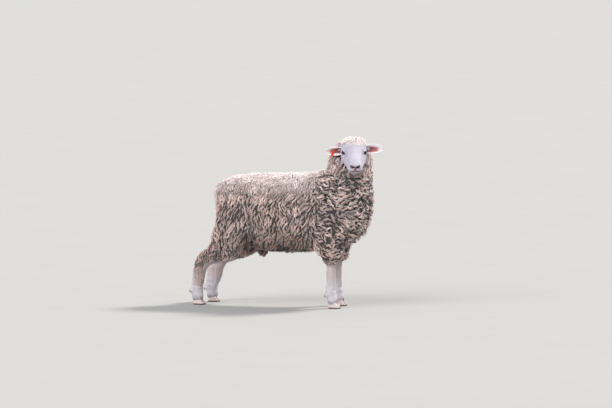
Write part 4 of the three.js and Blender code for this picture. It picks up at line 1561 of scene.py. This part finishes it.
def make_dewclaw(node):
    """One dewclaw, narrowing downward."""
    piece = finer(node, 0.0008, node.replace("leg", ""))
    points = coordinates(piece)
    low, high = (np.array(corner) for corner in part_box(node))
    down = (high[2] - points[:, 2]) / (high[2] - low[2])
    centre = (low + high) / 2
    for axis in (0, 1):
        points[:, axis] = mix(points[:, axis], centre[axis], 0.35 * smooth(0.2, 1.0, down))
    place_coordinates(piece, points)
    add_attributes(piece, {"sole": 0.25 + 0.5 * down})
    return piece


def dress(piece, material, slot, *nodes):
    """Gives a piece its material and lets it stand for CAD nodes. The slot is not used."""
    piece.data.materials.clear()
    piece.data.materials.append(material)
    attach(piece, "root")
    if nodes:
        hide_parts(*nodes)


def make_hard_parts():
    horn, tag, eye = horn_material(), tag_material(), eye_material()
    for node in HOOVES:
        dress(make_hoof(node), horn, "horn", node)
    for node in DEWCLAWS:
        dress(make_dewclaw(node), horn, "horn", node)
    for part in ("strip", "stud"):
        dress(finer("ear_tag_" + part, 0.0006, "tag_" + part), tag, "tag_plastic", "ear_tag_" + part)
    for name, side in SIDES:
        dress(make_eye(name, side), eye, "eye", "eye_" + name)


# ---------------------------------------------------------------- stage

AZIMUTH, ELEVATION = math.radians(22), math.radians(4)
LENS, SENSOR = 600.0, 36.0
FRAME_WIDTH = 612
PIXELS_PER_METRE = 206.0
ACROSS, RISE = 0.1578, 0.4908  # of the picture's middle, from the point between the feet
HEAD_PLACE = np.array((0.4475, -0.065, 0.760))  # of the head's own point, from the same
FEET = HEAD_ORIGIN - HEAD_PLACE


def make_camera():
    back = np.array((math.sin(AZIMUTH) * math.cos(ELEVATION), -math.cos(AZIMUTH) * math.cos(ELEVATION),
                     math.sin(ELEVATION)))
    right = np.array((math.cos(AZIMUTH), math.sin(AZIMUTH), 0))
    up = np.cross(back, right)
    distance = FRAME_WIDTH / PIXELS_PER_METRE * LENS / SENSOR
    camera = bpy.data.objects.new("camera", bpy.data.cameras.new("camera"))
    bpy.context.scene.collection.objects.link(camera)
    camera.data.lens, camera.data.sensor_width = LENS, SENSOR
    camera.data.clip_end = 500
    camera.location = Vector(FEET + right * ACROSS + up * RISE + back * distance)
    camera.rotation_euler = Matrix(np.column_stack((right, up, back)).tolist()).to_euler()
    bpy.context.scene.camera = camera


FLOOR_REACH = 300.0
# Each light's strength, how many degrees across it is, its colour, and the way to it.
LIGHTS = (
    ("sun", 3.8, 12, (1.0, 0.96, 0.9), (0.52, 0.74, 0.92)),
    ("fill", 2.15, 40, (1.0, 0.98, 0.98), (-0.25, -0.9, 0.7)),
)


def make_stage():
    corners = np.array(((-1, -1, 0), (1, -1, 0), (1, 1, 0), (-1, 1, 0))) * FLOOR_REACH
    floor = add_mesh("floor", corners, [np.array(((0, 1, 2, 3),))])
    look = Shader("floor", roughness=0.9)
    tone = look.ramp(look.noise(3), (0.0, (0.33, 0.33, 0.325)), (1.0, (0.35, 0.35, 0.345)))
    floor.data.materials.append(look.finish(tone))
    world = bpy.data.worlds.new("studio")
    world.use_nodes = True
    world.node_tree.nodes["Background"].inputs["Color"].default_value = (0.96, 0.98, 1.0, 1)
    world.node_tree.nodes["Background"].inputs["Strength"].default_value = 0.8
    bpy.context.scene.world = world
    for name, energy, spread, colour, towards in LIGHTS:
        light = bpy.data.objects.new(name, bpy.data.lights.new(name, "SUN"))
        light.data.energy = energy
        light.data.angle = math.radians(spread)
        light.data.color = colour
        light.rotation_euler = Vector(towards).to_track_quat("Z", "Y").to_euler()
        bpy.context.scene.collection.objects.link(light)
    bpy.context.scene.view_settings.view_transform = "Standard"


shape_head()
shape_legs()
colour_skin()
outline_points, outline_quads = surface(outline)
wool = wool_material()
coat = [make(outline_points, outline_quads) for make in (make_staples, make_underwool, make_wisps)]
for piece in itertools.chain(*coat):
    dress(piece, wool, "fleece")
white_hair = hair_material()
for piece in make_short_hair():
    dress(piece, white_hair, "short_hair")
dress(skin, skin_material(), "short_hair", *FLESH)
make_hard_parts()
make_camera()
make_stage()
